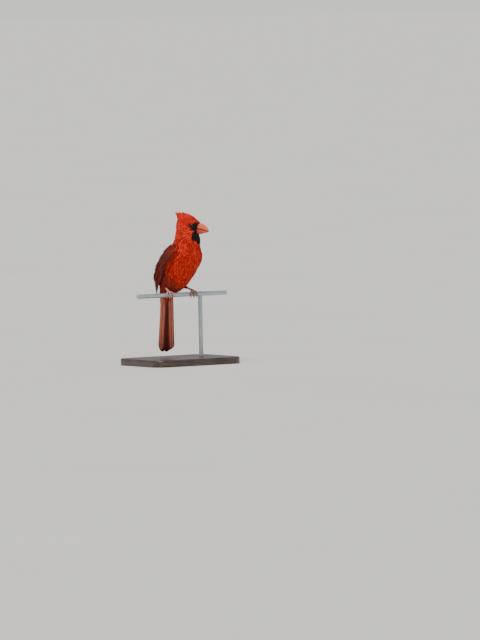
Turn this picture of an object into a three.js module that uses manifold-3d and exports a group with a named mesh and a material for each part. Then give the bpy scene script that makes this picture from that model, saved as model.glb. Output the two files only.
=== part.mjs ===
// A male northern cardinal, life size and still, perched on a cut length of welded fence wire.
// A flat base and one rod hold the wire up.
// Millimetres, +Z up. The origin is the centre of the base's underside and the wire runs along X.
// The bird is drawn about the point of the wire's centreline half way between its feet, and then
// lifted onto the stand.
import * as THREE from "three";
import { mergeVertices } from "three/addons/utils/BufferGeometryUtils.js";
import Module from "manifold-3d";

const wasm = await Module();
wasm.setup();

// Driving sizes
const GAP = 0.3; // room between two nodes that touch
const WIRE_RADIUS = 2.85;
const WIRE_LENGTH = 136;
const ROD_X = 31; // the fence's upright, beside the left foot
const FOOT_X = { right: -20.5, left: 16.3 }; // the middle toes, along the wire
const TAIL_LENGTH = 99;
const TAIL_CLEARANCE = 7; // under the tail's tip
const BASE_THICKNESS = 9;
const BASE_LENGTH = 132;
const BASE_WIDTH = 104;
const BASE_CENTRE_Y = 8; // the base's centre, behind the wire
const TAIL_TIP_DROP = 75; // the tail's tip, below the wire
const WIRE_HEIGHT = BASE_THICKNESS + TAIL_CLEARANCE + TAIL_TIP_DROP;

// Turns about the vertical: 0 faces -Y, squarely across the wire, and positive turns towards +X
const BODY_TURN = 18;
const HEAD_TURN = 44;
const TAIL_TURN = 8;
const HEAD_CENTRE = [11, 0, 88.4]; // of the skull, in the body's frame

const COLOURS = {
  red: { color: 0xd8301c, roughness: 0.85 },
  crestRed: { color: 0xe23c20, roughness: 0.85 },
  mask: { color: 0x1a0f0e, roughness: 0.8 },
  wing: { color: 0x8e3a2c, roughness: 0.8 },
  tail: { color: 0xa8402c, roughness: 0.8 },
  bill: { color: 0xf0714c, roughness: 0.45 },
  eye: { color: 0x140a08, roughness: 0.08 },
  leg: { color: 0xb98378, roughness: 0.6 },
  claw: { color: 0x5a3a34, roughness: 0.5 },
  wire: { color: 0x9aa9a6, roughness: 0.4, metalness: 0.8 },
  base: { color: 0x3a2c24, roughness: 0.5 },
};

const radians = THREE.MathUtils.degToRad;
const lerp = THREE.MathUtils.lerp;
const clamp = THREE.MathUtils.clamp;
const smooth = (t) => THREE.MathUtils.smoothstep(t, 0, 1);
const vec = (x, y, z) => new THREE.Vector3(x, y, z);

// A frame of forward, left and up, turned about the vertical and then pitched, with its own origin.
function makeFrame(turn, pitch = 0, origin = vec(0, 0, 0)) {
  const level = vec(Math.sin(radians(turn)), -Math.cos(radians(turn)), 0);
  const left = vec(Math.cos(radians(turn)), Math.sin(radians(turn)), 0);
  const up = vec(0, 0, 1);
  const forward = level.clone().multiplyScalar(Math.cos(radians(pitch)));
  forward.addScaledVector(up, -Math.sin(radians(pitch)));
  up.multiplyScalar(Math.cos(radians(pitch))).addScaledVector(level, Math.sin(radians(pitch)));
  const direction = (f, l, u) =>
    vec(0, 0, 0).addScaledVector(forward, f).addScaledVector(left, l).addScaledVector(up, u);
  const point = (f, l, u) => direction(f, l, u).add(origin);
  return { forward, left, up, origin, direction, point };
}
const body = makeFrame(BODY_TURN);
const head = makeFrame(HEAD_TURN, 3, body.point(...HEAD_CENTRE));

// The bird's flesh is one smooth field of rounded lobes
const BLEND = 2.6; // how widely two lobes flow together
const lobe = (frame, centre, radii, lean = 0) => {
  const turned = radians(lean);
  const forward = frame.direction(Math.cos(turned), 0, -Math.sin(turned));
  const up = frame.direction(Math.sin(turned), 0, Math.cos(turned));
  return { centre: frame.point(...centre), axes: [forward, frame.left, up], radii };
};
const TORSO_LOBES = [
  lobe(body, [6.5, 0, 51], [21.5, 24, 21], 20),
  lobe(body, [1, 0, 39], [20, 22, 24], 28),
  lobe(body, [-7, 0, 26], [17, 19.5, 23], 30),
  lobe(body, [-13, 0, 34], [13, 20.5, 24], 32),
  lobe(body, [-18, 0, 13.5], [11.5, 15, 18], 34),
];
const NECK_LOBES = [
  lobe(body, [10.5, 0, 66], [16, 16, 18], 8),
  lobe(body, [6, 0, 74], [11.5, 11.5, 16], 2),
];
const HEAD_LOBES = [
  lobe(head, [-1, 0, 1], [12.5, 10.4, 11]),
  lobe(head, [6.5, 0, -0.5], [9, 8.2, 7.8]),
  lobe(head, [3, 0, -7], [9.5, 9.6, 9]),
  lobe(head, [7, 0, -14], [9.8, 9.6, 9.5]),
  lobe(head, [-2.5, 0, 8.7], [9, 5.1, 4.8], -22),
];
const LOBES = [...TORSO_LOBES, ...NECK_LOBES, ...HEAD_LOBES];

// Below zero inside the bird, and roughly the distance to its surface outside.
function field(p) {
  let sum = 0;
  const offset = vec(0, 0, 0);
  for (const { centre, axes, radii } of LOBES) {
    offset.subVectors(p, centre);
    let near = 0;
    let slope = 0;
    axes.forEach((axis, i) => {
      const along = offset.dot(axis) / radii[i];
      near += along * along;
      slope += (along / radii[i]) ** 2;
    });
    const reach = Math.sqrt(near);
    const distance = (reach * (reach - 1)) / Math.max(Math.sqrt(slope), 1e-6);
    sum += Math.exp(-distance / BLEND);
  }
  return -BLEND * Math.log(sum);
}

// The spine runs from the rump to the skull. Rays leave it square to its line, and fan out round
// its two ends.
const SPINE = new THREE.CatmullRomCurve3([
  body.point(-16, 0, 14),
  body.point(-7, 0, 29),
  body.point(2, 0, 46),
  body.point(8, 0, 64),
  body.point(10.5, 0, 78),
  head.point(0, 0, -1),
]);
const TAIL_CAP = 0.2; // share of the rows that fan round the rump
const HEAD_CAP = 0.24; // and round the crown

function spineRay(v, angle) {
  const along = clamp((v - TAIL_CAP) / (1 - TAIL_CAP - HEAD_CAP), 0, 1);
  let tilt = 0;
  if (v < TAIL_CAP) tilt = (v / TAIL_CAP - 1) * (Math.PI / 2);
  if (v > 1 - HEAD_CAP) tilt = ((v - 1 + HEAD_CAP) / HEAD_CAP) * (Math.PI / 2);
  const origin = SPINE.getPoint(along);
  const tangent = SPINE.getTangent(along);
  const front = body.forward.clone().addScaledVector(tangent, -body.forward.dot(tangent)).normalize();
  const side = tangent.clone().cross(front);
  const ray = front.multiplyScalar(Math.cos(angle)).addScaledVector(side, Math.sin(angle));
  ray.multiplyScalar(Math.cos(tilt)).addScaledVector(tangent, Math.sin(tilt));
  return { origin, ray };
}

function surfacePoint(v, angle, grow) {
  const { origin, ray } = spineRay(v, angle);
  let inside = 0;
  let outside = 60;
  for (let step = 0; step < 22; step++) {
    const middle = (inside + outside) / 2;
    if (field(origin.clone().addScaledVector(ray, middle)) < 0) inside = middle;
    else outside = middle;
  }
  return origin.addScaledVector(ray, inside + grow);
}

// A sphere whose rows and columns are carried onto the bird's surface.
function bodySkin(columns, rows, grow = 0) {
  const sphere = new THREE.SphereGeometry(1, columns, rows);
  const place = sphere.getAttribute("position");
  for (let i = 0; i < place.count; i++) {
    const p = vec().fromBufferAttribute(place, i);
    const v = 1 - Math.acos(clamp(p.y, -1, 1)) / Math.PI;
    const q = surfacePoint(v, Math.atan2(p.z, p.x), grow);
    place.setXYZ(i, q.x, q.y, q.z);
  }
  return sphere;
}

// Between three.js geometry and closed solids
function solidOf(geometry) {
  const bare = geometry.clone();
  for (const name of ["normal", "uv"]) bare.deleteAttribute(name);
  const merged = mergeVertices(bare, 1e-4);
  const triVerts = Uint32Array.from(merged.index.array);
  const vertProperties = Float32Array.from(merged.getAttribute("position").array);
  const solid = new wasm.Manifold(new wasm.Mesh({ numProp: 3, vertProperties, triVerts }));
  if (solid.volume() > 0) return solid;
  for (let i = 0; i < triVerts.length; i += 3) {
    [triVerts[i + 1], triVerts[i + 2]] = [triVerts[i + 2], triVerts[i + 1]];
  }
  return new wasm.Manifold(new wasm.Mesh({ numProp: 3, vertProperties, triVerts }));
}
const fuse = (solids) => solids.reduce((whole, piece) => whole.add(piece));
const largest = (solid) => solid.decompose().reduce((a, b) => (a.volume() > b.volume() ? a : b));

function geometryOf(solid) {
  const mesh = solid.getMesh();
  const points = new Float32Array(mesh.numVert * 3);
  for (let i = 0; i < mesh.numVert; i++) {
    points.set(mesh.vertProperties.subarray(i * mesh.numProp, i * mesh.numProp + 3), i * 3);
  }
  const geometry = new THREE.BufferGeometry();
  geometry.setAttribute("position", new THREE.BufferAttribute(points, 3));
  geometry.setIndex(new THREE.BufferAttribute(Uint32Array.from(mesh.triVerts), 1));
  return geometry;
}

function ellipsoid(frame, centre, radii, columns = 20, rows = 14) {
  const sphere = new THREE.SphereGeometry(1, columns, rows).scale(...radii);
  const turn = new THREE.Matrix4().makeBasis(frame.forward, frame.left, frame.up);
  return sphere.applyMatrix4(turn).translate(...frame.point(...centre));
}

// Rings of points, each of the same count, closed by a fan at both ends
function loft(rings) {
  const count = rings[0].length;
  const points = rings.flat();
  const faces = [];
  for (let row = 0; row + 1 < rings.length; row++) {
    for (let i = 0; i < count; i++) {
      const a = row * count + i;
      const b = row * count + ((i + 1) % count);
      faces.push(a, b, b + count, a, b + count, a + count);
    }
  }
  for (const [row, flip] of [[0, true], [rings.length - 1, false]]) {
    const middle = rings[row].reduce((sum, p) => sum.add(p), vec(0, 0, 0)).divideScalar(count);
    const hub = points.push(middle) - 1;
    for (let i = 0; i < count; i++) {
      const a = row * count + i;
      const b = row * count + ((i + 1) % count);
      faces.push(...(flip ? [b, a, hub] : [a, b, hub]));
    }
  }
  const geometry = new THREE.BufferGeometry().setFromPoints(points);
  return geometry.setIndex(faces);
}

// A round limb along a curve, whose radius is a function of how far along it is
function limb(curve, radiusAt, steps, sides = 8) {
  const frames = curve.computeFrenetFrames(steps, false);
  const rings = [];
  for (let i = 0; i <= steps; i++) {
    const t = i / steps;
    const centre = curve.getPoint(t);
    const radius = radiusAt(t);
    const ring = [];
    for (let k = 0; k < sides; k++) {
      const angle = (k / sides) * 2 * Math.PI;
      const p = centre.clone().addScaledVector(frames.normals[i], Math.cos(angle) * radius);
      ring.push(p.addScaledVector(frames.binormals[i], Math.sin(angle) * radius));
    }
    rings.push(ring);
  }
  return loft(rings);
}

// One feather: a thin plate laid out on a sheet whose points are sheet(along, across, height).
// Tilt lifts its +across edge, as shingles lie, and both faces are split alike.
const VANE_STATIONS = [0, 0.36, 0.7, 0.9, 1];
const CONTOUR_WIDTHS = [0.5, 0.95, 1, 0.72, 0.16];
const FLIGHT_WIDTHS = [0.6, 0.9, 1, 0.82, 0.28];
const VANE_THICKNESS = 0.52;
const VANE_PITCH = VANE_THICKNESS + GAP; // between two vanes that lie over one another

function vane(sheet, { at, heading = 0, length, width, widths = CONTOUR_WIDTHS, lift, tilt = 0 }) {
  const turn = radians(heading);
  const rings = VANE_STATIONS.map((t, i) => {
    const half = (width / 2) * widths[i];
    const along = at[0] + Math.cos(turn) * length * t;
    const across = at[1] + Math.sin(turn) * length * t;
    const height = lerp(lift[0], lift[1], t);
    return [[-1, 1], [1, 1], [1, -1], [-1, -1]].map(([side, face]) => {
      const reach = side * half;
      const rise = height + reach * Math.tan(radians(tilt)) + (face * VANE_THICKNESS) / 2;
      return sheet(along - Math.sin(turn) * reach, across + Math.cos(turn) * reach, rise);
    });
  });
  const points = rings.flat();
  const faces = [0, 3, 2, 0, 2, 1];
  for (let o = 0; o + 4 < points.length; o += 4) {
    const n = o + 4;
    faces.push(o, o + 1, n + 1, o, n + 1, n);
    faces.push(o + 1, o + 2, n + 2, o + 1, n + 2, n + 1);
    faces.push(o + 3, n + 3, n + 2, o + 3, n + 2, o + 2);
    faces.push(o + 3, o, n, o + 3, n, n + 3);
  }
  const end = points.length - 4;
  faces.push(end, end + 1, end + 2, end, end + 2, end + 3);
  return solidOf(new THREE.BufferGeometry().setFromPoints(points).setIndex(faces));
}

// Seeded numbers, so that no two feathers are quite alike and every run is the same
function seeded(seed) {
  let state = seed;
  return (spread) => {
    state = (state * 1664525 + 1013904223) >>> 0;
    return (state / 2 ** 31 - 1) * spread;
  };
}

// The whole skin, cut into torso, neck and head by two slanted planes
const SKIN_COLUMNS = 24;
const SKIN_ROWS = 38;
const skin = solidOf(bodySkin(SKIN_COLUMNS, SKIN_ROWS));
const grownSkin = solidOf(bodySkin(SKIN_COLUMNS, SKIN_ROWS, GAP));

const NECK_LOW = { at: body.point(6, 0, 62), normal: body.direction(0.3, 0, 1).normalize() };
const NECK_HIGH = { at: head.point(-1, 0, -12.5), normal: head.direction(0.25, 0, 1).normalize() };
function above(solid, plane, shift = 0) {
  return solid.trimByPlane(plane.normal.toArray(), plane.at.dot(plane.normal) + shift);
}
function below(solid, plane, shift = 0) {
  const down = plane.normal.clone().negate();
  return solid.trimByPlane(down.toArray(), -plane.at.dot(plane.normal) - shift);
}
const neck = below(above(skin, NECK_LOW, GAP / 2), NECK_HIGH, -GAP / 2);
const bareHead = above(skin, NECK_HIGH, GAP / 2);
const bareTorso = below(skin, NECK_LOW, -GAP / 2);

// Bill: two deep cones that meet along the line of the mouth, set into the face
const BILL_TIP = [29.6, -5.6];
const MOUTH_START = [9, -2.2];
const BILL_SETBACK = 0.5; // of the lower bill's tip behind the upper one's
const BILL_STATIONS = [0, 0.3, 0.52, 0.7, 0.83, 0.92, 0.975, 1];
const BILL_SIDES = 11;
const UPPER_HEIGHT = 8.2;
const LOWER_DEPTH = 9.4;
const BILL_HALF_WIDTH = 6;
const MOUTH_GAP = 0.32;
const MOUTH_CORNER = { until: 0.34, fall: 8 }; // the mouth's line turns down at its corner
const MOUTH_BEND = 0.45;
const culmen = (t) => Math.max(UPPER_HEIGHT * Math.pow(1 - t ** 4.5, 0.62), 0.35);
const gonys = (t) => Math.max(LOWER_DEPTH * Math.pow(1 - t, 0.78), 0.3);
const billSide = (t) => Math.max(BILL_HALF_WIDTH * Math.pow(1 - t ** 1.7, 0.85), 0.3);

function billHalf(isUpper, grow = 0) {
  const rings = BILL_STATIONS.map((t) => {
    const forward = lerp(MOUTH_START[0] - grow, BILL_TIP[0] + grow, t) - (isUpper ? 0 : BILL_SETBACK * t);
    const corner = Math.max(0, MOUTH_CORNER.until - t) * MOUTH_CORNER.fall;
    const bend = MOUTH_BEND * Math.sin(Math.PI * t);
    const mouth = lerp(MOUTH_START[1], BILL_TIP[1], t) - corner + bend;
    const rise = isUpper ? culmen(t) + corner + 2 * grow : -gonys(t) + corner - 2 * grow;
    const edge = mouth + ((isUpper ? 1 : -1) * MOUTH_GAP) / 2 - (isUpper ? grow : -grow);
    const ring = [];
    for (let k = 0; k < BILL_SIDES; k++) {
      const angle = (k / (BILL_SIDES - 1)) * Math.PI;
      const bulge = Math.pow(Math.sin(angle), 0.9);
      ring.push(head.point(forward, Math.cos(angle) * (billSide(t) + grow), edge + rise * bulge));
    }
    return ring;
  });
  return solidOf(loft(rings));
}

// Nostrils: small slanted pits near the upper bill's root
const NOSTRIL = { at: [17.4, 4.3, 1.7], radii: [1.1, 1.2, 0.6] };
const nostrils = [-1, 1].map((side) => {
  const [f, l, u] = NOSTRIL.at;
  return solidOf(ellipsoid(head, [f, side * l, u], NOSTRIL.radii, 8, 6));
});
const upperBill = largest(nostrils.reduce((bill, pit) => bill.subtract(pit), billHalf(true)));
const lowerBill = billHalf(false);
const BILL_ROOM = 0.35; // the socket is cut wider than the gap, as the bill's sides slope
const grownBill = fuse([billHalf(true, BILL_ROOM), billHalf(false, BILL_ROOM)]);

// Eyes sit in their sockets inside a raised ring of lids
const EYE = { at: [8, 8.35, 1.2], radius: 3.1, lid: 0.55 };
const eyeCentre = (side) => [EYE.at[0], side * EYE.at[1], EYE.at[2]];
function lids(side) {
  const ring = new THREE.TorusGeometry(EYE.radius * 0.86, EYE.lid, 6, 16).scale(1.08, 0.9, 1.1);
  const out = head.direction(0.22, side, 0.12).normalize();
  const across = head.up.clone().cross(out).normalize();
  const turn = new THREE.Matrix4().makeBasis(across, out.clone().cross(across), out);
  const at = head.point(...eyeCentre(side)).addScaledVector(out, EYE.radius * 0.62);
  return solidOf(ring.applyMatrix4(turn).translate(...at));
}

// The black mask: lores, a thin line over the bill, and a bib under it
const MASK_CUTS = [
  { at: [16.8, 0, -0.2], radii: [9.2, 30, 7.6] },
  { at: [16.6, 0, -11.5], radii: [7.6, 30, 9] },
];
const maskCutter = (grow) =>
  fuse(MASK_CUTS.map(({ at, radii }) => solidOf(ellipsoid(head, at, radii.map((r) => r + grow), 14, 8))));

// The crest: rows of pointed feathers from the forehead back, each row with one feather astride the
// crown and one down each side
const CREST_ROWS = 7;
const CREST_FRONT = { root: [14, 3.5], tip: [5.5, 13.6] };
const CREST_BACK = { root: [-8, 3], tip: [-16.6, 20.4] };
const CREST_TOP = 2.9; // the arch of the tips' line over a straight one
const CREST_SIDE = { out: 3.7, open: 1.25, close: 0.45, down: 2, roll: 62, width: 6.8 };
const CREST_MIDDLE_WIDTH = 4.2;
function crestVanes() {
  const vary = seeded(7);
  const vanes = [];
  for (let row = 0; row < CREST_ROWS; row++) {
    const t = row / (CREST_ROWS - 1);
    const mix = (end) => CREST_FRONT[end].map((value, i) => lerp(value, CREST_BACK[end][i], t));
    const root = mix("root");
    const tip = mix("tip");
    tip[1] += CREST_TOP * Math.sin(Math.PI * t);
    for (const side of [-1, 0, 1]) {
      const low = Math.abs(side) * CREST_SIDE.down;
      const spread = side * CREST_SIDE.out;
      const start = head.point(root[0], spread * CREST_SIDE.open, root[1] - low);
      const drawn = spread * lerp(1, CREST_SIDE.close, t);
      const end = head.point(tip[0] + vary(0.5) + low * 0.4, drawn, tip[1] - low);
      const along = end.clone().sub(start).normalize();
      const across = head.left.clone().applyAxisAngle(along, radians(side * CREST_SIDE.roll));
      across.addScaledVector(along, -across.dot(along)).normalize();
      const out = along.clone().cross(across);
      if (out.dot(head.up) < 0) out.negate();
      const sheet = (a, c, h) =>
        start.clone().addScaledVector(along, a).addScaledVector(across, c).addScaledVector(out, h);
      const width = side === 0 ? CREST_MIDDLE_WIDTH : CREST_SIDE.width;
      vanes.push(vane(sheet, { at: [0, 0], length: end.distanceTo(start), width, lift: [0, 0] }));
    }
  }
  return vanes;
}

// The head is cut open for the eyes and the bill
const sockets = [-1, 1].map((side) =>
  solidOf(ellipsoid(head, eyeCentre(side), Array(3).fill(EYE.radius + GAP), 16, 12)),
);
const finishHead = (solid) => {
  const cut = [grownBill, ...sockets].reduce((rest, piece) => rest.subtract(piece), solid);
  return largest(above(cut, NECK_HIGH, GAP / 2));
};
const bald = fuse([bareHead, lids(-1), lids(1)]);
const mask = finishHead(bald.intersect(maskCutter(0)));
const crown = finishHead(fuse([bald, ...crestVanes()]).subtract(maskCutter(GAP)));
const bills = { upper: upperBill, lower: lowerBill };

// Wings: a cambered sheet hugs each flank from the shoulder to the tips over the rump
const WING = { root: [9.5, 21.5, 65], tip: [-41.5, 6, -1.5], outward: [-0.42, 0.906, 0] };
const WING_CAMBER = 9.6; // the sheet's rise over the straight line from shoulder to tip
const WING_MIDDLE = 40; // where along the wing that is
const WING_ROUNDNESS = { dorsal: 30, ventral: 52 }; // across the wing, twice the radius of its curve

function wingSheet(side) {
  const mirror = ([f, l, u]) => [f, side * l, u];
  const root = body.point(...mirror(WING.root));
  const along = body.point(...mirror(WING.tip)).sub(root).normalize();
  const out = body.direction(...mirror(WING.outward));
  out.addScaledVector(along, -out.dot(along)).normalize();
  const across = out.clone().cross(along);
  if (across.dot(body.forward) < 0) across.negate();
  return (a, c, h) => {
    const camber = WING_CAMBER * (1 - ((a - WING_MIDDLE) / 45) ** 2);
    const roundness = c < 0 ? WING_ROUNDNESS.dorsal : WING_ROUNDNESS.ventral;
    const rise = h + camber - (c * c) / (roundness + 0.5 * a);
    return root.clone().addScaledVector(along, a).addScaledVector(across, c).addScaledVector(out, rise);
  };
}

// The wing's flesh and lesser coverts, a low mound between the sheet and the flank
const CORE_STATIONS = [0, 4, 10, 18, 27, 35, 42];
const CORE_DORSAL = [3, 7.5, 10.5, 12, 11.5, 9, 4.5];
const CORE_VENTRAL = [2.5, 6, 7.5, 8, 8, 7.5, 5];
const CORE_TOP = [-0.6, 0.6, 1.2, 1.4, 0.8, -0.5, -2];
const CORE_DEPTH = 7;
function wingCore(sheet) {
  const rings = CORE_STATIONS.map((a, i) => {
    const ring = [-1, -0.5, 0, 0.5, 1].map((share) => [share, CORE_TOP[i] - 1.3 * Math.abs(share) ** 3]);
    for (const share of [1, 0.5, 0, -0.5, -1]) ring.push([share, -CORE_DEPTH]);
    return ring.map(([share, h]) => sheet(a, share * (share < 0 ? CORE_DORSAL[i] : CORE_VENTRAL[i]), h));
  });
  return solidOf(loft(rings));
}

// Tiers of wing feathers: each row runs from its first feather to its last, evenly.
// Roots and tips are given along and across the sheet, lifts at the root and at the tip.
const WING_TIERS = [
  {
    name: "primaries", count: 7, width: 5, widths: FLIGHT_WIDTHS, tilt: 22,
    roots: [[35, 7.4], [29, -0.4]], tips: [[83, 2.6], [66, -3]], lifts: [[-2.4, -2], [-1, 0]],
  },
  {
    name: "secondaries", count: 5, width: 5.6, widths: FLIGHT_WIDTHS, tilt: 22,
    roots: [[25, 0], [22, -4.6]], tips: [[64, -3], [61, -7]], lifts: [[-0.9, 0.4], [-0.6, 1.8]],
  },
  {
    name: "tertials", count: 3, width: 6.6, widths: FLIGHT_WIDTHS, tilt: 18,
    roots: [[19, -5.4], [16, -8.2]], tips: [[56, -6.2], [43, -8.8]], lifts: [[0, 2.5], [0.2, 3.3]],
  },
  {
    name: "primary coverts", count: 3, width: 4.2, widths: CONTOUR_WIDTHS, tilt: 22,
    roots: [[23, 7], [21, 2.4]], tips: [[45, 5.6], [39, 1.2]], lifts: [[-0.2, -0.6], [0, 0.6]],
  },
  {
    name: "greater coverts", count: 7, width: 5, widths: CONTOUR_WIDTHS, tilt: 20,
    roots: [[13, 5.4], [12, -8.4]], tips: [[34, 3.4], [30, -8.8]], lifts: [[0.6, 1.6], [0.8, 3.4]],
  },
  {
    name: "median coverts", count: 5, width: 5, widths: CONTOUR_WIDTHS, tilt: 18,
    roots: [[5, 4.6], [5, -8]], tips: [[20, 4.6], [18, -8.6]], lifts: [[0.2, 2.4], [0.2, 3.4]],
  },
];
function tierVanes(sheet, tier, vary) {
  const vanes = [];
  const pick = ([first, last], t) => first.map((value, i) => lerp(value, last[i], t));
  for (let i = 0; i < tier.count; i++) {
    const t = i / (tier.count - 1);
    const at = pick(tier.roots, t);
    const tip = pick(tier.tips, t);
    vanes.push(vane(sheet, {
      at,
      heading: THREE.MathUtils.radToDeg(Math.atan2(tip[1] - at[1], tip[0] - at[0])),
      length: Math.hypot(tip[0] - at[0], tip[1] - at[1]) + vary(0.5),
      width: tier.width,
      widths: tier.widths,
      lift: pick(tier.lifts, t),
      tilt: tier.tilt,
    }));
  }
  return vanes;
}
function wing(side) {
  const sheet = wingSheet(side);
  const vary = seeded(11 + side);
  const feathers = WING_TIERS.flatMap((tier) => tierVanes(sheet, tier, vary));
  return largest(fuse([wingCore(sheet), ...feathers]).subtract(grownSkin));
}

// Tail: twelve feathers, six a side, stepped under the middle pair and spread a little at the tip
const TAIL_ROOT = [-26, 0, 23];
const TAIL_PITCH = 87; // below the horizontal, so the tail hangs almost plumb
const TAIL_PAIRS = 6;
const TAIL_SPREAD = 0.52; // degrees between feathers
const TAIL_WIDTH = 10.6; // of one feather
const TAIL_OUTER_SHORTER = 4.5;
const TAIL_WIDTHS = [0.7, 0.88, 1, 0.94, 0.45];
const TAIL_CORE = { from: 4, to: 46, width: [8.5, 5.6], thickness: [6, 1.9] };
const tailFrame = makeFrame(TAIL_TURN, 0, body.point(...TAIL_ROOT));
const tailDown = tailFrame.direction(-Math.cos(radians(TAIL_PITCH)), 0, -Math.sin(radians(TAIL_PITCH)));
const tailBack = tailFrame.direction(-Math.sin(radians(TAIL_PITCH)), 0, Math.cos(radians(TAIL_PITCH)));
const tailSheet = (a, c, h) =>
  tailFrame.point(0, c, 0).addScaledVector(tailDown, a).addScaledVector(tailBack, h);

// The pairs outside the middle one are trimmed at the tail's middle plane, clear of those across it
function ownSide(solid, side) {
  const normal = tailFrame.left.clone().multiplyScalar(side);
  return solid.trimByPlane(normal.toArray(), tailFrame.origin.dot(normal) + GAP / 2);
}
function tailFeathers() {
  const feathers = [];
  for (const side of [-1, 1]) {
    for (let pair = 0; pair < TAIL_PAIRS; pair++) {
      const layer = (TAIL_PAIRS / 2 - pair) * VANE_PITCH + (pair === 0 && side > 0 ? VANE_PITCH : 0);
      const feather = vane(tailSheet, {
        at: [0, side * (0.8 + pair * 0.62)],
        heading: side * (0.3 + pair * TAIL_SPREAD),
        length: TAIL_LENGTH - (pair === 0 ? 3.5 : 0) - (pair / TAIL_PAIRS) * TAIL_OUTER_SHORTER,
        width: TAIL_WIDTH,
        widths: TAIL_WIDTHS,
        lift: [layer, layer],
      });
      feathers.push(pair === 0 ? feather : ownSide(feather, side));
    }
  }
  return feathers;
}
// Coverts over and under the tail's root
const TAIL_COVERTS = [
  { count: 4, from: 20, length: 29, width: 5.6, lift: [2.5, 4.7] },
  { count: 4, from: 22, length: 32, width: 5.6, lift: [-2.5, -4.1] },
];
function tailCoverts() {
  const vary = seeded(5);
  return TAIL_COVERTS.flatMap(({ count, from, length, width, lift }) => {
    const vanes = [];
    for (let i = 0; i < count; i++) {
      const across = i - (count - 1) / 2;
      const outer = Math.abs(across) * 0.42 * Math.sign(lift[0]);
      vanes.push(vane(tailSheet, {
        at: [from, across * 2.1],
        heading: across * 1.5,
        length: length - Math.abs(across) * 2.5 + vary(0.8),
        width,
        lift: lift.map((value) => value - outer + (i % 2 ? 0 : Math.sign(value) * VANE_PITCH)),
      }));
    }
    return vanes;
  });
}
function tailCore() {
  const { from, to, width, thickness } = TAIL_CORE;
  const rings = [0, 0.25, 0.5, 0.75, 1].map((t) => {
    const ring = [];
    for (let k = 0; k < 12; k++) {
      const angle = (k / 12) * 2 * Math.PI;
      const across = Math.cos(angle) * lerp(...width, t);
      ring.push(tailSheet(lerp(from, to, t), across, 0.4 + Math.sin(angle) * lerp(...thickness, t)));
    }
    return ring;
  });
  return solidOf(loft(rings));
}
const tail = largest(fuse([tailCore(), ...tailFeathers(), ...tailCoverts()]).subtract(grownSkin));

// Legs: the ankle is drawn up into the belly feathers, and the foot closes round the wire
const LEGS = [
  { name: "right", side: -1, ankle: [-22, -11, 13] },
  { name: "left", side: 1, ankle: [-15, 14.5, 12] },
];
const TARSUS_RADIUS = 1.25;
const TARSUS_FLARE = 0.25; // how much wider the shin is at the foot
const TOE_CLEARANCE = GAP + 0.1; // between a toe and the wire
const PAD_RADIUS = 1.9;
const KNUCKLE = { degrees: 98, height: WIRE_RADIUS + TARSUS_RADIUS + TOE_CLEARANCE + 0.9 };
const TOES = [
  { name: "hallux", start: 112, end: 188, drift: 0, radius: 1.3 },
  { name: "inner", start: 96, end: -36, drift: -4.4, radius: 1.1 },
  { name: "middle", start: 96, end: -46, drift: 0.2, radius: 1.2 },
  { name: "outer", start: 96, end: -36, drift: 4.6, radius: 1.1 },
];
const CLAW_LENGTH = 4.4;
const CLAW_RADII = [0.78, 0.16];
const KNUCKLES = 3;

// A point beside the wire: 0 degrees is its front, 90 its top, 180 its back
const roundWire = (x, degrees, radius) =>
  vec(x, -Math.cos(radians(degrees)) * radius, Math.sin(radians(degrees)) * radius);
class WrapCurve extends THREE.Curve {
  constructor(x, drift, start, end, radius) {
    super();
    Object.assign(this, { x, drift, start, end, radius });
  }
  getPoint(t, target = vec()) {
    const x = this.x + this.drift * Math.sin(Math.min(t * 1.6, 1) * (Math.PI / 2));
    return target.copy(roundWire(x, lerp(this.start, this.end, t), this.radius));
  }
}

const grownWire = solidOf(
  new THREE.CylinderGeometry(WIRE_RADIUS + GAP, WIRE_RADIUS + GAP, 200, 32).rotateZ(Math.PI / 2),
);

const knuckle = (name) => roundWire(FOOT_X[name], KNUCKLE.degrees, KNUCKLE.height);
function shin({ name, ankle }, grow = 0) {
  const line = new THREE.LineCurve3(knuckle(name), body.point(...ankle));
  const radiusAt = (t) => TARSUS_RADIUS * (1 + TARSUS_FLARE * Math.pow(1 - t, 6)) + grow;
  return solidOf(limb(line, radiusAt, 5, 8));
}
function toe({ start, end, drift, radius }, { name, side }) {
  const wrap = WIRE_RADIUS + radius + TOE_CLEARANCE;
  const curve = new WrapCurve(FOOT_X[name], drift * side, start, end, wrap);
  const radiusAt = (t) => radius * (0.92 - 0.16 * t + 0.08 * Math.cos(t * KNUCKLES * 2 * Math.PI));
  return solidOf(limb(curve, radiusAt, 9, 6));
}
function leg(spec) {
  const pad = new THREE.SphereGeometry(PAD_RADIUS, 10, 6).scale(1.15, 1, 0.75);
  pad.translate(...knuckle(spec.name));
  const pieces = [solidOf(pad), shin(spec), ...TOES.map((size) => toe(size, spec))];
  return largest(fuse(pieces).subtract(grownSkin));
}

function claw({ end, start, drift, radius }, { name, side }) {
  const turn = Math.sign(end - start);
  const wrap = WIRE_RADIUS + radius + TOE_CLEARANCE;
  const root = end + turn * (GAP / wrap) * (180 / Math.PI);
  const sweep = (CLAW_LENGTH / wrap) * (180 / Math.PI);
  const curve = new WrapCurve(FOOT_X[name] + drift * side, 0, root, root + turn * sweep, wrap - 0.15);
  return solidOf(limb(curve, (t) => lerp(...CLAW_RADII, Math.pow(t, 0.8)), 5, 6));
}

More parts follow.
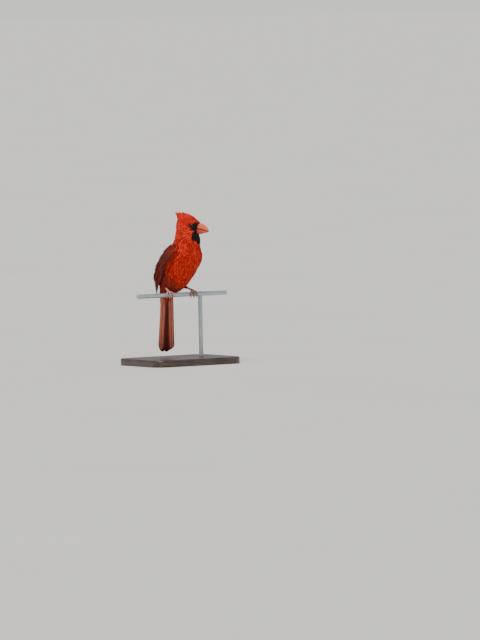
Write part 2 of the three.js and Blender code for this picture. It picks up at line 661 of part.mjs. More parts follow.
// Feathered thighs: short tufts that close round each ankle
const TUFT = { above: 6, inward: 4, reach: 0.48, radii: [6, 2.2] };
function thigh(spec) {
  const { ankle, side, name } = spec;
  const heel = body.point(...ankle);
  const inward = body.point(ankle[0] + TUFT.above, ankle[1] - side * TUFT.inward, ankle[2] + TUFT.above);
  const cuff = heel.clone().lerp(knuckle(name), TUFT.reach);
  const curve = new THREE.CatmullRomCurve3([inward, heel, cuff]);
  const tuft = solidOf(limb(curve, (t) => lerp(...TUFT.radii, smooth(t)), 5, 10));
  return largest(tuft.subtract(grownSkin).subtract(shin(spec, GAP)));
}

// Stand: a plain wooden base and one rod, the fence's own upright, welded behind the wire
const BASE_CORNER = 16;
const BASE_EDGE = 1.5;
const WELD_RADII = [3.9, 2.2, 3.4];
const WELD_FORWARD = 2.6; // of the rod's centreline
function standBase() {
  const outline = new THREE.Shape();
  const round = BASE_CORNER;
  const [w, d] = [BASE_LENGTH / 2, BASE_WIDTH / 2];
  outline.moveTo(-w + round, -d);
  outline.lineTo(w - round, -d);
  outline.absarc(w - round, -d + round, round, -Math.PI / 2, 0);
  outline.absarc(w - round, d - round, round, 0, Math.PI / 2);
  outline.absarc(-w + round, d - round, round, Math.PI / 2, Math.PI);
  outline.absarc(-w + round, -d + round, round, Math.PI, Math.PI * 1.5);
  const block = new THREE.ExtrudeGeometry(outline, {
    depth: BASE_THICKNESS - 2 * BASE_EDGE,
    bevelThickness: BASE_EDGE,
    bevelSize: BASE_EDGE,
    bevelOffset: -BASE_EDGE,
    bevelSegments: 1,
    curveSegments: 4,
  });
  return block.translate(0, BASE_CENTRE_Y, BASE_EDGE);
}
const WELD_SINK = 0.4; // how far the rod is sunk into the wire's back
const ROD_Y = 2 * WIRE_RADIUS - WELD_SINK;
function standRod() {
  const length = WIRE_HEIGHT + WIRE_RADIUS - BASE_THICKNESS - GAP;
  const rod = new THREE.CylinderGeometry(WIRE_RADIUS, WIRE_RADIUS, length, 16).rotateX(Math.PI / 2);
  rod.translate(ROD_X, ROD_Y, BASE_THICKNESS + GAP + length / 2 - WIRE_HEIGHT);
  const weld = new THREE.SphereGeometry(1, 10, 6).scale(...WELD_RADII);
  weld.translate(ROD_X, ROD_Y - WELD_FORWARD, 0);
  return largest(fuse([solidOf(rod), solidOf(weld)]).subtract(grownWire));
}
const perchWire = new THREE.CylinderGeometry(WIRE_RADIUS, WIRE_RADIUS, WIRE_LENGTH, 28);
perchWire.rotateZ(Math.PI / 2);

// Nodes
const materials = {};
for (const [name, finish] of Object.entries(COLOURS)) {
  materials[name] = new THREE.MeshStandardMaterial({ name, ...finish });
}
function addNode(group, name, geometry, colour) {
  const mesh = new THREE.Mesh(geometry, materials[colour]);
  mesh.name = name;
  group.add(mesh);
  return mesh;
}

const bird = new THREE.Group();
bird.position.z = WIRE_HEIGHT;

addNode(bird, "torso", geometryOf(largest(bareTorso)), "red");
addNode(bird, "neck", geometryOf(largest(neck)), "red");
addNode(bird, "head", geometryOf(crown), "crestRed");
addNode(bird, "face_mask", geometryOf(mask), "mask");
for (const [half, solid] of Object.entries(bills)) {
  addNode(bird, `bill_${half}`, geometryOf(solid), "bill");
}
for (const { name, side } of LEGS) {
  const eye = addNode(bird, `eye_${name}`, new THREE.SphereGeometry(EYE.radius, 14, 10), "eye");
  eye.position.copy(head.point(...eyeCentre(side)));
  addNode(bird, `wing_${name}`, geometryOf(wing(side)), "wing");
}
addNode(bird, "tail", geometryOf(tail), "tail");
for (const spec of LEGS) {
  addNode(bird, `thigh_${spec.name}`, geometryOf(thigh(spec)), "red");
  addNode(bird, `leg_${spec.name}`, geometryOf(leg(spec)), "leg");
  for (const size of TOES) {
    addNode(bird, `claw_${spec.name}_${size.name}`, geometryOf(claw(size, spec)), "claw");
  }
}

addNode(bird, "perch_wire", perchWire, "wire");
addNode(bird, "stand_rod", geometryOf(standRod()), "wire");

const stand = new THREE.Group();
addNode(stand, "stand_base", standBase(), "base");

const cardinal = new THREE.Group();
cardinal.add(bird, stand);
export default cardinal;
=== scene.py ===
# %% [markdown]
# # A northern cardinal, feather by feather
# A male cardinal sits on a cut length of galvanised wire. The imported model gives the frame: every
# piece here is made in the same metres and takes the place of a plainer solid. We start by loading that
# frame and keeping its box.

import math

import bpy
import numpy as np
from mathutils import Matrix, Vector


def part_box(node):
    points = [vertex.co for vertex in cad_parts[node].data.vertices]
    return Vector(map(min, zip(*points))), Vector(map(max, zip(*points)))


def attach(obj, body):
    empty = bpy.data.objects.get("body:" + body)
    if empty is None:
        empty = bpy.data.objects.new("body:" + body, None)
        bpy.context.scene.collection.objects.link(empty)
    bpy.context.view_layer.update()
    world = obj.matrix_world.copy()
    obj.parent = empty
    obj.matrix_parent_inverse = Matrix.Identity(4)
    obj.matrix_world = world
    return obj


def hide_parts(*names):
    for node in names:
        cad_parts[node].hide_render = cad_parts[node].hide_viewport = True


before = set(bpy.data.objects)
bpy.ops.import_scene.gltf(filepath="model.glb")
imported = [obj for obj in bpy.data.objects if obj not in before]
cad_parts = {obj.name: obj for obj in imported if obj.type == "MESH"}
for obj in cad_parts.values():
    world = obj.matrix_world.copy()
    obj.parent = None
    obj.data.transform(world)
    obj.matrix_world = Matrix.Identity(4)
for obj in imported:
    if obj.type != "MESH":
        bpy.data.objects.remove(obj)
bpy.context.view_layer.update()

# %% [markdown]
# The bird was drawn in millimetres about the point of the wire that lies half way between its feet. The
# wire's own box says how high that point is. Everything is worked out in those millimetres and becomes
# metres only when a mesh is made.

# %% Sizes of the bird and a place to stand
MM = 0.001
wire_low, wire_high = (np.array(corner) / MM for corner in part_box("perch_wire"))
WIRE_HEIGHT = (wire_low[2] + wire_high[2]) / 2
WIRE_RADIUS = (wire_high[2] - wire_low[2]) / 2
BODY_TURN = 18
HEAD_TURN = 44
TAIL_TURN = 8
HEAD_PITCH = 3
HEAD_CENTRE = (11, 0, 88.4)
print("wire at", round(WIRE_HEIGHT, 2), "mm, radius", round(WIRE_RADIUS, 2))


def unit(vectors):
    return vectors / np.maximum(np.linalg.norm(vectors, axis=-1, keepdims=True), 1e-9)


def lerp(a, b, t):
    return a + (b - a) * t


def stack(*columns):
    """Columns side by side, each spread to the shape that they share."""
    return np.stack(np.broadcast_arrays(*columns), axis=-1)


def pairs(a, b, indexing="xy"):
    """Every pair of the two lists, as two flat arrays."""
    return (grid.ravel() for grid in np.meshgrid(a, b, indexing=indexing))


def swing(angle, first, second):
    """Directions at each angle from first towards second."""
    return np.cos(angle)[:, None] * first + np.sin(angle)[:, None] * second


def smooth(low, high, x):
    t = np.clip((x - low) / (high - low), 0, 1)
    return t * t * (3 - 2 * t)


class Axes:
    """Forward, left and up, turned about the vertical (0 faces -Y) and then pitched down."""

    def __init__(self, turn, pitch=0, origin=(0, 0, 0)):
        t, p = math.radians(turn), math.radians(pitch)
        level = np.array([math.sin(t), -math.cos(t), 0])
        self.left = np.array([math.cos(t), math.sin(t), 0])
        self.forward = level * math.cos(p) - np.array([0, 0, math.sin(p)])
        self.up = np.array([0, 0, math.cos(p)]) + level * math.sin(p)
        self.origin = np.array(origin, float)

    def direction(self, f, l, u):
        parts = zip((f, l, u), (self.forward, self.left, self.up))
        return sum(np.asarray(amount)[..., None] * axis for amount, axis in parts)

    def point(self, f, l, u):
        return self.origin + self.direction(f, l, u)

    def local(self, points):
        return (points - self.origin) @ np.array([self.forward, self.left, self.up]).T


body = Axes(BODY_TURN)
head = Axes(HEAD_TURN, HEAD_PITCH, body.point(*HEAD_CENTRE))

# %% [markdown]
# Under a bird's feathers is one smooth body. It could be sculpted or joined from spheres, but a field is
# easier to keep exact: each lobe is an ellipsoid, a soft minimum flows them together, and the surface is
# wherever the field is zero. The same lobes made the solids, so the coat lands where they are. Only the
# last one is new here: it fills the forehead over the bill's root.

# %% The body as a field of lobes
BLEND = 2.6


def lobe(axes, centre, radii, lean=0):
    t = math.radians(lean)
    forward = axes.direction(math.cos(t), 0, -math.sin(t))
    up = axes.direction(math.sin(t), 0, math.cos(t))
    return axes.point(*centre), np.array([forward, axes.left, up]), np.array(radii, float)


LOBES = [
    lobe(body, (6.5, 0, 51), (21.5, 24, 21), 20),
    lobe(body, (1, 0, 39), (20, 22, 24), 28),
    lobe(body, (-7, 0, 26), (17, 19.5, 23), 30),
    lobe(body, (-13, 0, 34), (13, 20.5, 24), 32),
    lobe(body, (-18, 0, 13.5), (11.5, 15, 18), 34),
    lobe(body, (10.5, 0, 66), (16, 16, 18), 8),
    lobe(body, (6, 0, 74), (11.5, 11.5, 16), 2),
    lobe(head, (-1, 0, 1), (12.5, 10.4, 11)),
    lobe(head, (6.5, 0, -0.5), (9, 8.2, 7.8)),
    lobe(head, (3, 0, -7), (9.5, 9.6, 9)),
    lobe(head, (7, 0, -14), (9.8, 9.6, 9.5)),
    lobe(head, (-2.5, 0, 8.7), (9, 5.1, 4.8), -22),
    lobe(head, (11.5, 0, 4.6), (7.5, 4.8, 4.2), 30),
]


def field(points):
    total = np.zeros(len(points))
    for centre, axes, radii in LOBES:
        scaled = (points - centre) @ axes.T / radii
        reach = np.linalg.norm(scaled, axis=1)
        slope = np.maximum(np.linalg.norm(scaled / radii, axis=1), 1e-6)
        total += np.exp(-reach * (reach - 1) / slope / BLEND)
    return -BLEND * np.log(np.maximum(total, 1e-30))


def outward(points, step=0.05):
    nudges = np.eye(3) * step
    return unit(np.stack([field(points + n) - field(points - n) for n in nudges], axis=1))


# %% [markdown]
# To lay rows of feathers we need rows and columns on that surface. A spine runs from the rump to the
# skull, rays leave it square to its line and fan out round its two ends, and each ray is halved down to
# where it meets the surface. Row and column also serve as the unwrap that the coat is baked on.

# %% Rows and columns on the body
SPINE = np.array([*(body.point(f, 0, u) for f, u in ((-16, 14), (-7, 29), (2, 46), (8, 64), (10.5, 78))),
                  head.point(0, 0, -1)])
TAIL_CAP, HEAD_CAP = 0.2, 0.24
RAY_LENGTH, HALVINGS = 60.0, 24


def spine(t):
    """Catmull-Rom through the spine's points: places and directions for each t from 0 to 1."""
    p = SPINE
    padded = np.array([2 * p[0] - p[1], *p, 2 * p[-1] - p[-2]])
    x = np.clip(t, 0, 1) * (len(p) - 1)
    i = np.minimum(x.astype(int), len(p) - 2)
    f = (x - i)[:, None]
    a, b, c, d = padded[i], padded[i + 1], padded[i + 2], padded[i + 3]
    bend, twist = 2 * a - 5 * b + 4 * c - d, 3 * b - a - 3 * c + d
    place = 0.5 * (2 * b + (c - a) * f + bend * f**2 + twist * f**3)
    way = 0.5 * ((c - a) + 2 * bend * f + 3 * twist * f**2)
    return place, unit(way)


def on_body(v, angle, sink=0.0):
    """Points of the surface at rows v and columns angle, sunk under it, with the outward direction."""
    origin, tangent = spine((v - TAIL_CAP) / (1 - TAIL_CAP - HEAD_CAP))
    tilt = np.where(v < TAIL_CAP, (v / TAIL_CAP - 1) * math.pi / 2, 0)
    tilt = np.where(v > 1 - HEAD_CAP, (v - 1 + HEAD_CAP) / HEAD_CAP * math.pi / 2, tilt)
    front = unit(body.forward - tangent * (tangent @ body.forward)[:, None])
    ray = swing(tilt, swing(angle, front, np.cross(tangent, front)), tangent)
    inside, outside = np.zeros(len(v)), np.full(len(v), RAY_LENGTH)
    for _ in range(HALVINGS):
        middle = (inside + outside) / 2
        hit = field(origin + ray * middle[:, None]) < 0
        inside, outside = np.where(hit, middle, inside), np.where(hit, outside, middle)
    surface = origin + ray * inside[:, None]
    normal = outward(surface)
    return surface - normal * sink, normal


# %% [markdown]
# Where feathers are black and where they are dull is a marking, and the skin between them needs the same
# marking, or red would shine through the mask. The dull share also reaches low over the belly and vent, and
# there it is painted shade. So one function colours any point of the bird.

# %% Markings
MASK = [((16.8, 0, -0.2), (9.0, 30, 7.4)), ((16.6, 0, -11.5), (7.4, 30, 8.8))]


def markings(points):
    """Share of black mask, and share of the back's greyer red, for points of the bird; low on the belly that
    red is painted shade.
    """
    near = head.local(points)
    mask = np.zeros(len(points))
    for centre, radii in MASK:
        reach = np.linalg.norm((near - centre) / radii, axis=1)
        mask = np.maximum(mask, smooth(1.04, 0.94, reach))
    mask *= near[:, 0] > 2
    f, _, u = body.local(points).T
    # The back's share reaches forward low down, over the belly and vent: there it is painted shade.
    back = smooth(-7, -23, f + (u - 45) * 0.5) * smooth(78, 62, u)
    return mask, back


# %% [markdown]
# Shader maths reads best as sums. This small class holds one output socket, and each operator adds the
# Math node that it stands for. A colour goes through Mix and Vector Math instead, since a Math node would
# turn it grey.

# %% Shader maths as Python
class Value:
    def __init__(self, shader, socket):
        self.shader, self.socket = shader, socket

    def _math(self, kind, *others):
        return self.shader.node("ShaderNodeMath", {"operation": kind}, dict(enumerate((self, *others))))

    def __add__(self, other):
        return self._math("ADD", other)

    def __mul__(self, other):
        return self._math("MULTIPLY", other)

    def __sub__(self, other):
        return self._math("SUBTRACT", other)

    def __rsub__(self, other):
        return (self * -1) + other

    __radd__ = __add__
    __rmul__ = __mul__

    def absolute(self):
        return self._math("ABSOLUTE")

    def sine(self):
        return self._math("SINE")

    def ramp(self, low, high):
        settings = {"interpolation_type": "SMOOTHSTEP"}
        return self.shader.node("ShaderNodeMapRange", settings, {0: self, 1: low, 2: high})


class Shader:
    def __init__(self, name):
        self.material = bpy.data.materials.new(name)
        self.material.use_nodes = True
        self.tree = self.material.node_tree
        self.surface = self.tree.nodes["Principled BSDF"]

    def node(self, kind, settings=None, sockets=None, output=0):
        made = self.tree.nodes.new(kind)
        for name, value in (settings or {}).items():
            setattr(made, name, value)
        for key, value in (sockets or {}).items():
            self.feed(made.inputs[key], value)
        return Value(self, made.outputs[output])

    def feed(self, socket, value):
        if isinstance(value, Value):
            self.tree.links.new(value.socket, socket)
        elif isinstance(value, tuple) and len(value) == 3 and socket.type == "RGBA":
            socket.default_value = (*value, 1)
        else:
            socket.default_value = value

    def attribute(self, name, part=None):
        output = "Fac" if part is None else "Vector"
        read = self.node("ShaderNodeAttribute", {"attribute_name": name}, output=output)
        return read if part is None else self.node("ShaderNodeSeparateXYZ", {}, {0: read}, output=part)

    def place(self):
        return self.node("ShaderNodeTexCoord", output="Object")

    def noise(self, scale, detail=3.0, roughness=0.5, vector=None, distortion=0.0):
        return self.node("ShaderNodeTexNoise", {}, {
            "Vector": vector or self.place(), "Scale": scale, "Detail": detail, "Roughness": roughness,
            "Distortion": distortion,
        })

    def mix(self, share, a, b):
        return self.node("ShaderNodeMix", {"data_type": "RGBA"}, {0: share, 6: a, 7: b}, output=2)

    def bump(self, height, strength=0.3, distance=0.0002):
        relief = self.node("ShaderNodeBump", {}, {"Height": height, "Strength": strength, "Distance": distance})
        self.feed(self.surface.inputs["Normal"], relief)

    def finish(self, **sockets):
        for name, value in sockets.items():
            self.feed(self.surface.inputs[name.replace("_", " ")], value)
        return self.material


# %% [markdown]
# A plumage has three kinds of colour at once: the marking, a small change from feather to feather, and a
# change along each feather, which is grey and downy at its root and brightest near its tip. The last two
# come from attributes that each feather carries: tone, and leaf, its own coordinates from edge to edge
# and from root to tip. Barbs are a fine bump in the same coordinates.

# %% Plumage
RED = (0.62, 0.014, 0.004)
BRIGHT_RED = (0.85, 0.045, 0.010)
DEEP_RED = (0.36, 0.006, 0.003)
# The back's duller red; where the back's share reaches the lower belly and vent it is painted shade.
BACK_RED_AND_BELLY_SHADE = (0.17, 0.017, 0.011)
DOWN_GREY = (0.10, 0.010, 0.007)
BLACK = (0.007, 0.004, 0.004)
ROOT_DARK = 0.45


def plumage():
    s = Shader("plumage")
    across, along = s.attribute("leaf", 0), s.attribute("leaf", 1)
    mask, back = s.attribute("marks", 0), s.attribute("marks", 1)
    tone, warm = s.attribute("tone"), s.noise(90, 2)
    red = s.mix(tone, DEEP_RED, RED)
    red = s.mix((warm + tone * 0.8 - 0.4).ramp(0.35, 0.95), red, BRIGHT_RED)
    # Mix in the back's duller red, which over the lower belly and vent is painted shade.
    red = s.mix(back * 0.85, red, BACK_RED_AND_BELLY_SHADE)
    red = s.mix((1 - along).ramp(0.45, 0.95) * ROOT_DARK, red, DOWN_GREY)
    colour = s.mix(mask, red, BLACK)
    barbs = (along * 60 + across.absolute() * 26).sine() * 0.5 + 0.5
    shaft = (1 - across.absolute()).ramp(0.82, 1.0)
    s.bump(barbs * 0.6 + shaft * 0.5, 0.3, 0.0001)
    return s.finish(Base_Color=colour, Roughness=0.66 + barbs * 0.16, Sheen_Weight=0.06, Sheen_Roughness=0.5,
                    Sheen_Tint=(1.0, 0.3, 0.15), Specular_IOR_Level=0.16)


plumage_material = plumage()
print("plumage nodes:", len(plumage_material.node_tree.nodes))

# %% [markdown]
# Every mesh is made the same way: points in millimetres about the wire go up to the stand's height and
# become metres. Attributes are stored as they come, one value a point.

# %% Making meshes
def add_to_scene(name, data):
    made = bpy.data.objects.new(name, data)
    bpy.context.scene.collection.objects.link(made)
    return made


def make_piece(name, points, faces, material, attributes=None):
    mesh = bpy.data.meshes.new(name)
    lifted = (np.asarray(points, float) + [0, 0, WIRE_HEIGHT]) * MM
    mesh.from_pydata(lifted.tolist(), [], faces)
    for key, values in (attributes or {}).items():
        values = np.asarray(values, np.float32)
        kind = "FLOAT" if values.ndim == 1 else "FLOAT_VECTOR"
        made = mesh.attributes.new(key, kind, "POINT")
        made.data.foreach_set("value" if kind == "FLOAT" else "vector", values.ravel())
    if material:
        mesh.materials.append(material)
    mesh.polygons.foreach_set("use_smooth", [True] * len(mesh.polygons))
    mesh.update()
    return add_to_scene(name, mesh)


def settle(piece, slot, *replaced):
    """The piece rides on the one body and stands for its nodes; slot is not used."""
    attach(piece, "root")
    if replaced:
        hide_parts(*replaced)
    count = sum(len(p.vertices) - 2 for p in piece.data.polygons)
    print(f"{piece.name}: {count} triangles")


def grid_faces(rows, ring, offset=0):
    """The wall of a tube: rows of points, each a closed ring."""
    i, j = np.meshgrid(np.arange(rows - 1), np.arange(ring), indexing="ij")
    a, b = offset + i * ring + j, offset + i * ring + (j + 1) % ring
    return np.stack([a, b, b + ring, a + ring], axis=-1).reshape(-1, 4).tolist()


def capped_faces(rows, ring, offset=0):
    """The wall and a flat face over each end."""
    last = offset + (rows - 1) * ring
    caps = [list(range(offset + ring - 1, offset - 1, -1)), list(range(last, last + ring))]
    return grid_faces(rows, ring, offset) + caps


def globe_faces(rows, ring):
    """The wall and a fan at each end to the two points that follow it."""
    count, faces = rows * ring, grid_faces(rows, ring)
    for j in range(ring):
        after = (j + 1) % ring
        faces += [(count, after, j), (count + 1, count - ring + j, count - ring + after)]
    return faces


def turned(faces, flip=True):
    """The faces wound the other way."""
    return [face[::-1] for face in faces] if flip else faces


# %% [markdown]
# The skin lies a little under the tips of the coat, so that no gap between feathers shows a hole. It is a
# fine grid on the same rows and columns, closed at both poles, with its unwrap in the map the bake reads.

# %% Skin
COAT_DEPTH = 1.5
SKIN_ROWS, SKIN_COLUMNS = 110, 96


def skin():
    v = np.linspace(0.004, 0.996, SKIN_ROWS)
    angle = np.arange(SKIN_COLUMNS) / SKIN_COLUMNS * 2 * math.pi
    rows, columns = pairs(v, angle, "ij")
    wall, _ = on_body(rows, columns, COAT_DEPTH)
    poles, _ = on_body(np.array([0.0, 1.0]), np.zeros(2), COAT_DEPTH)
    points = np.vstack([wall, poles])
    faces = globe_faces(SKIN_ROWS, SKIN_COLUMNS)
    plain = np.zeros(len(points))
    attributes = {"marks": stack(*markings(points), plain), "tone": plain + 0.25,
                  "leaf": stack(plain + 0.5, 0.55, 0)}
    piece = make_piece("skin", points, faces, plumage_material, attributes)
    layer = piece.data.uv_layers.new(name="OFBake")
    unwrap = np.vstack([stack(columns / (2 * math.pi), rows), [[0.5, 0], [0.5, 1]]])
    uv = unwrap[[loop.vertex_index for loop in piece.data.loops]]
    for polygon in piece.data.polygons:
        cell = uv[polygon.loop_start:polygon.loop_start + polygon.loop_total]
        if np.ptp(cell[:, 0]) > 0.5:
            cell[cell[:, 0] < 0.5, 0] += 1
    layer.data.foreach_set("uv", uv.astype(np.float32).ravel())
    return piece


settle(skin(), "plumage_red", "torso", "neck", "head", "face_mask", "thigh_left", "thigh_right")

# %% [markdown]
# A small feather is a leaf: widest past its middle, bowed down along its length, with a raised shaft and
# an edge of barb ends. Copies of a few such leaves clothe the whole bird. Each is a closed thin shell a
# unit long and a unit wide, so that a copy's scale sets its real length, width and bow.

# %% One small feather
def leaf_template(name, stations, blunt, seed, teeth):
    random = np.random.default_rng(seed)
    t = np.linspace(0, 1, stations) ** 0.85
    width = 0.5 * np.sin(np.clip(t * 0.93 + 0.07, 0, 1) ** blunt * math.pi) ** 0.62
    width[0], width[-1] = 0.06, 0.04
    points, leaf = [], []
    for i, (along, half) in enumerate(zip(t, width)):
        tooth = 1 - teeth * (i % 2) * (0.6 + 0.8 * random.random())
        shift = (0.02 if i % 2 else -0.015) * (i > 1)
        bow = -(along**2)
        for across, rise in ((-1, -0.1), (0, 0.06), (1, -0.1), (0, -0.06)):
            edge = half * across * tooth
            points.append((edge, along + shift * abs(across), bow + rise - 0.5 * edge**2))
            leaf.append((across, along, 0))
    mesh = bpy.data.meshes.new(name)
    mesh.from_pydata(points, [], capped_faces(stations, 4))
    made = mesh.attributes.new("leaf", "FLOAT_VECTOR", "POINT")
    made.data.foreach_set("vector", np.array(leaf, np.float32).ravel())
    mesh.polygons.foreach_set("use_smooth", [True] * len(mesh.polygons))
    return bpy.data.objects.new(name, mesh)


ROUND_LEAF = leaf_template("round_leaf", 12, 1.25, 1, 0.2)
POINTED_LEAF = leaf_template("pointed_leaf", 10, 0.8, 2, 0.1)
LOOSE_LEAF = leaf_template("loose_leaf", 12, 1.05, 3, 0.42)

# %% [markdown]
# Thousands of copies are a job for Geometry Nodes. Each point of a cloud carries how its feather is
# turned, its width, length and bow, and its root's place on the unwrap. The tree puts a leaf on every
# point, turns the copies into real mesh, and writes the bake's map: a small patch for each feather at its
# root's place.

# %% The feather tree
PATCH = 0.003


def feather_tree():
    tree = bpy.data.node_groups.new("feathers_on_points", "GeometryNodeTree")
    for name, kind in (("Points", "Geometry"), ("Leaf", "Object"), ("Finish", "Material"), ("Patch", "Float")):
        tree.interface.new_socket(name, in_out="INPUT", socket_type=f"NodeSocket{kind}")
    tree.interface.new_socket("Coat", in_out="OUTPUT", socket_type="NodeSocketGeometry")
    new, link = tree.nodes.new, tree.links.new
    given, result = new("NodeGroupInput"), new("NodeGroupOutput")

    def named(name):
        node = new("GeometryNodeInputNamedAttribute")
        node.data_type = "FLOAT_VECTOR"
        node.inputs["Name"].default_value = name
        return node.outputs["Attribute"]

    template = new("GeometryNodeObjectInfo")
    link(given.outputs["Leaf"], template.inputs["Object"])
    copies = new("GeometryNodeInstanceOnPoints")
    link(given.outputs["Points"], copies.inputs["Points"])
    link(template.outputs["Geometry"], copies.inputs["Instance"])
    link(named("turn"), copies.inputs["Rotation"])
    link(named("span"), copies.inputs["Scale"])
    real = new("GeometryNodeRealizeInstances")
    link(copies.outputs["Instances"], real.inputs["Geometry"])
    patch = new("ShaderNodeVectorMath")
    patch.operation = "SCALE"
    link(named("leaf"), patch.inputs[0])
    link(given.outputs["Patch"], patch.inputs["Scale"])
    place = new("ShaderNodeVectorMath")
    link(patch.outputs[0], place.inputs[0])
    link(named("root"), place.inputs[1])
    store = new("GeometryNodeStoreNamedAttribute")
    store.data_type, store.domain = "FLOAT2", "CORNER"
    store.inputs["Name"].default_value = "OFBake"
    link(real.outputs["Geometry"], store.inputs["Geometry"])
    link(place.outputs[0], store.inputs["Value"])
    paint = new("GeometryNodeSetMaterial")
    link(store.outputs["Geometry"], paint.inputs["Geometry"])
    link(given.outputs["Finish"], paint.inputs["Material"])
    link(paint.outputs["Geometry"], result.inputs["Coat"])
    return tree


FEATHER_TREE = feather_tree()


def turns(x, y, z):
    """Euler angles that carry a leaf's own axes onto these directions."""
    pitch = np.arcsin(np.clip(-x[:, 2], -1, 1))
    return stack(np.arctan2(y[:, 2], z[:, 2]), pitch, np.arctan2(x[:, 1], x[:, 0]))


def feather_coat(name, leaf, roots, lie, normal, span, root_uv, tone, marks):
    """One piece of coat: a feather on each root, pointing along the lie, its face towards normal.

    span is each one's width, length and bow, and marks are its shares of black and of the back's red, which low
    on the belly is painted shade.
    """
    along = unit(lie)
    across = unit(np.cross(along, normal))
    flat = np.zeros(len(roots))
    cloud = make_piece(name + "_roots", roots, [], None, {
        "turn": turns(across, along, np.cross(across, along)), "span": stack(*span) * MM,
        "root": stack(*root_uv, flat), "tone": tone, "marks": stack(*marks, flat),
    })
    modifier = cloud.modifiers.new("feathers", "NODES")
    modifier.node_group = FEATHER_TREE
    inputs = {"Leaf": leaf, "Finish": plumage_material, "Patch": PATCH / 2}
    for item in FEATHER_TREE.interface.items_tree:
        if item.in_out == "INPUT" and item.name in inputs:
            modifier[item.identifier] = inputs[item.name]
    cloud.update_tag()
    bpy.context.view_layer.update()
    graph = bpy.context.evaluated_depsgraph_get()
    mesh = bpy.data.meshes.new_from_object(cloud.evaluated_get(graph))
    piece = add_to_scene(name, mesh)
    bpy.data.objects.remove(cloud)
    for spare in ("turn", "span", "root"):
        if spare in mesh.attributes:
            mesh.attributes.remove(mesh.attributes[spare])
    print(name, len(roots), "feathers")
    return piece


# %% [markdown]
# Wings lie on a sheet: a gently bowed surface from the shoulder to the tips over the rump. A point on it
# is given along the wing, across it, and above it, and the other wing is its mirror. Knowing the sheet
# also tells us which body feathers a wing hides.

# %% The wings' sheet
WING_ROOT, WING_TIP = np.array([9.5, 21.5, 65]), np.array([-41.5, 6, -1.5])
WING_OUTWARD = np.array([-0.42, 0.906, 0])
WING_CAMBER, WING_MIDDLE = 9.6, 40
WING_ROUNDNESS = {"dorsal": 30, "ventral": 52}


class WingSheet:
    def __init__(self, side):
        mirror = np.array([1, side, 1])
        self.side = side
        self.root = body.point(*(WING_ROOT * mirror))
        self.along = unit(body.point(*(WING_TIP * mirror)) - self.root)
        out = body.direction(*(WING_OUTWARD * mirror))
        self.out = unit(out - self.along * (out @ self.along))
        self.across = np.cross(self.out, self.along)
        if self.across @ body.forward < 0:
            self.across = -self.across

    def rise(self, a, c):
        camber = WING_CAMBER * (1 - ((a - WING_MIDDLE) / 45) ** 2)
        roundness = np.where(c < 0, WING_ROUNDNESS["dorsal"], WING_ROUNDNESS["ventral"])
        return camber - c * c / (roundness + 0.5 * a)

    def __call__(self, a, c, h):
        a, c, h = (np.asarray(x, float) for x in (a, c, h))
        parts = ((a, self.along), (c, self.across), (h + self.rise(a, c), self.out))
        return self.root + sum(amount[..., None] * axis for amount, axis in parts)

    def local(self, points):
        a, c, h = ((points - self.root) @ axis for axis in (self.along, self.across, self.out))
        return a, c, h - self.rise(a, c)


WINGS = {"right": WingSheet(-1), "left": WingSheet(1)}
WING_WIDTH = {"at": [0, 10, 27, 42, 70, 84], "dorsal": [3, 10, 11.5, 9, 5, 2], "ventral": [2, 6, 7, 5.5, 3, 2]}
COVERED_LENGTH, COVERED_DEPTH = (2, 52), (-14, 2)


def along_wing(widths, a, *names):
    """The named widths at places a along the wing."""
    return [np.interp(a, widths["at"], widths[name]) for name in names]


def under_a_wing(points):
    hidden = np.zeros(len(points), bool)
    for sheet in WINGS.values():
        a, c, h = sheet.local(points)
        dorsal, ventral = along_wing(WING_WIDTH, a, "dorsal", "ventral")
        inside = (c > -dorsal) & (c < ventral)
        for x, (least, most) in ((a, COVERED_LENGTH), (h, COVERED_DEPTH)):
            inside &= (x > least) & (x < most)
        hidden |= inside
    return hidden


# %% [markdown]
# Feathers point away from the bill over the head and then down the body to the tail. Blending those two
# flows, laid flat on the surface, gives the lie anywhere. Rows are spaced by real distance: wide on the
# breast, close on the face. Odd rows step half a place, as roof tiles do.

# %% Rows of body feathers
BILL_ROOT = head.point(15, 0, -2.5)
LIE_ON_HEAD = (70, 82)
random = np.random.default_rng(34)


def lie_of(points, normal, v):
    _, tangent = spine((v - TAIL_CAP) / (1 - TAIL_CAP - HEAD_CAP))
    from_bill = unit(points - BILL_ROOT)
    share = smooth(*LIE_ON_HEAD, points[:, 2])[:, None]
    way = lerp(-tangent, from_bill, share)
    return unit(way - normal * np.sum(way * normal, axis=1, keepdims=True))


ROW_SPACING = {"at": [0, 0.2, 0.45, 0.66, 0.76, 0.86, 1], "mm": [1.45, 1.5, 1.5, 1.35, 1.08, 0.88, 0.84]}


def body_rows(checks=400, rays=8):
    """Rows and columns of every root, with the spacing there."""
    fine = np.linspace(0, 1, checks)
    points, _ = on_body(np.repeat(fine, rays), np.tile(np.arange(rays) * 2 * math.pi / rays, checks))
    points = points.reshape(checks, rays, 3)
    steps = np.linalg.norm(np.diff(points, axis=0), axis=2).mean(axis=1)
    rows, travelled = [], 0.0
    for place, ring, step in zip(fine, points, steps):
        travelled += step
        gap = np.interp(place, ROW_SPACING["at"], ROW_SPACING["mm"])
        if travelled < gap:
            continue
        travelled = 0.0
        girth = np.linalg.norm(ring - np.roll(ring, 1, axis=0), axis=1).sum() * 1.03
        count = max(5, round(girth / gap))
        turn = (np.arange(count) + 0.5 * ((len(rows) + 1) % 2)) / count * 2 * math.pi
        rows.append(stack(place, turn, gap))
    return np.concatenate(rows).T


v, angle, spacing = body_rows()
v = np.clip(v + random.normal(0, 0.0016, len(v)), 0.002, 0.998)
angle = angle + random.normal(0, 0.012, len(v))
surface, normal = on_body(v, angle)
lie = lie_of(surface, normal, v)
print("body feathers planned:", len(v))

# %% [markdown]
# Some roots are dropped: those under the folded wings, inside the bill's root and on the eyes. What is
# left is split into pieces by place, since the head's fine coat, the breast's round feathers and the
# looser ones of the belly differ in shape.

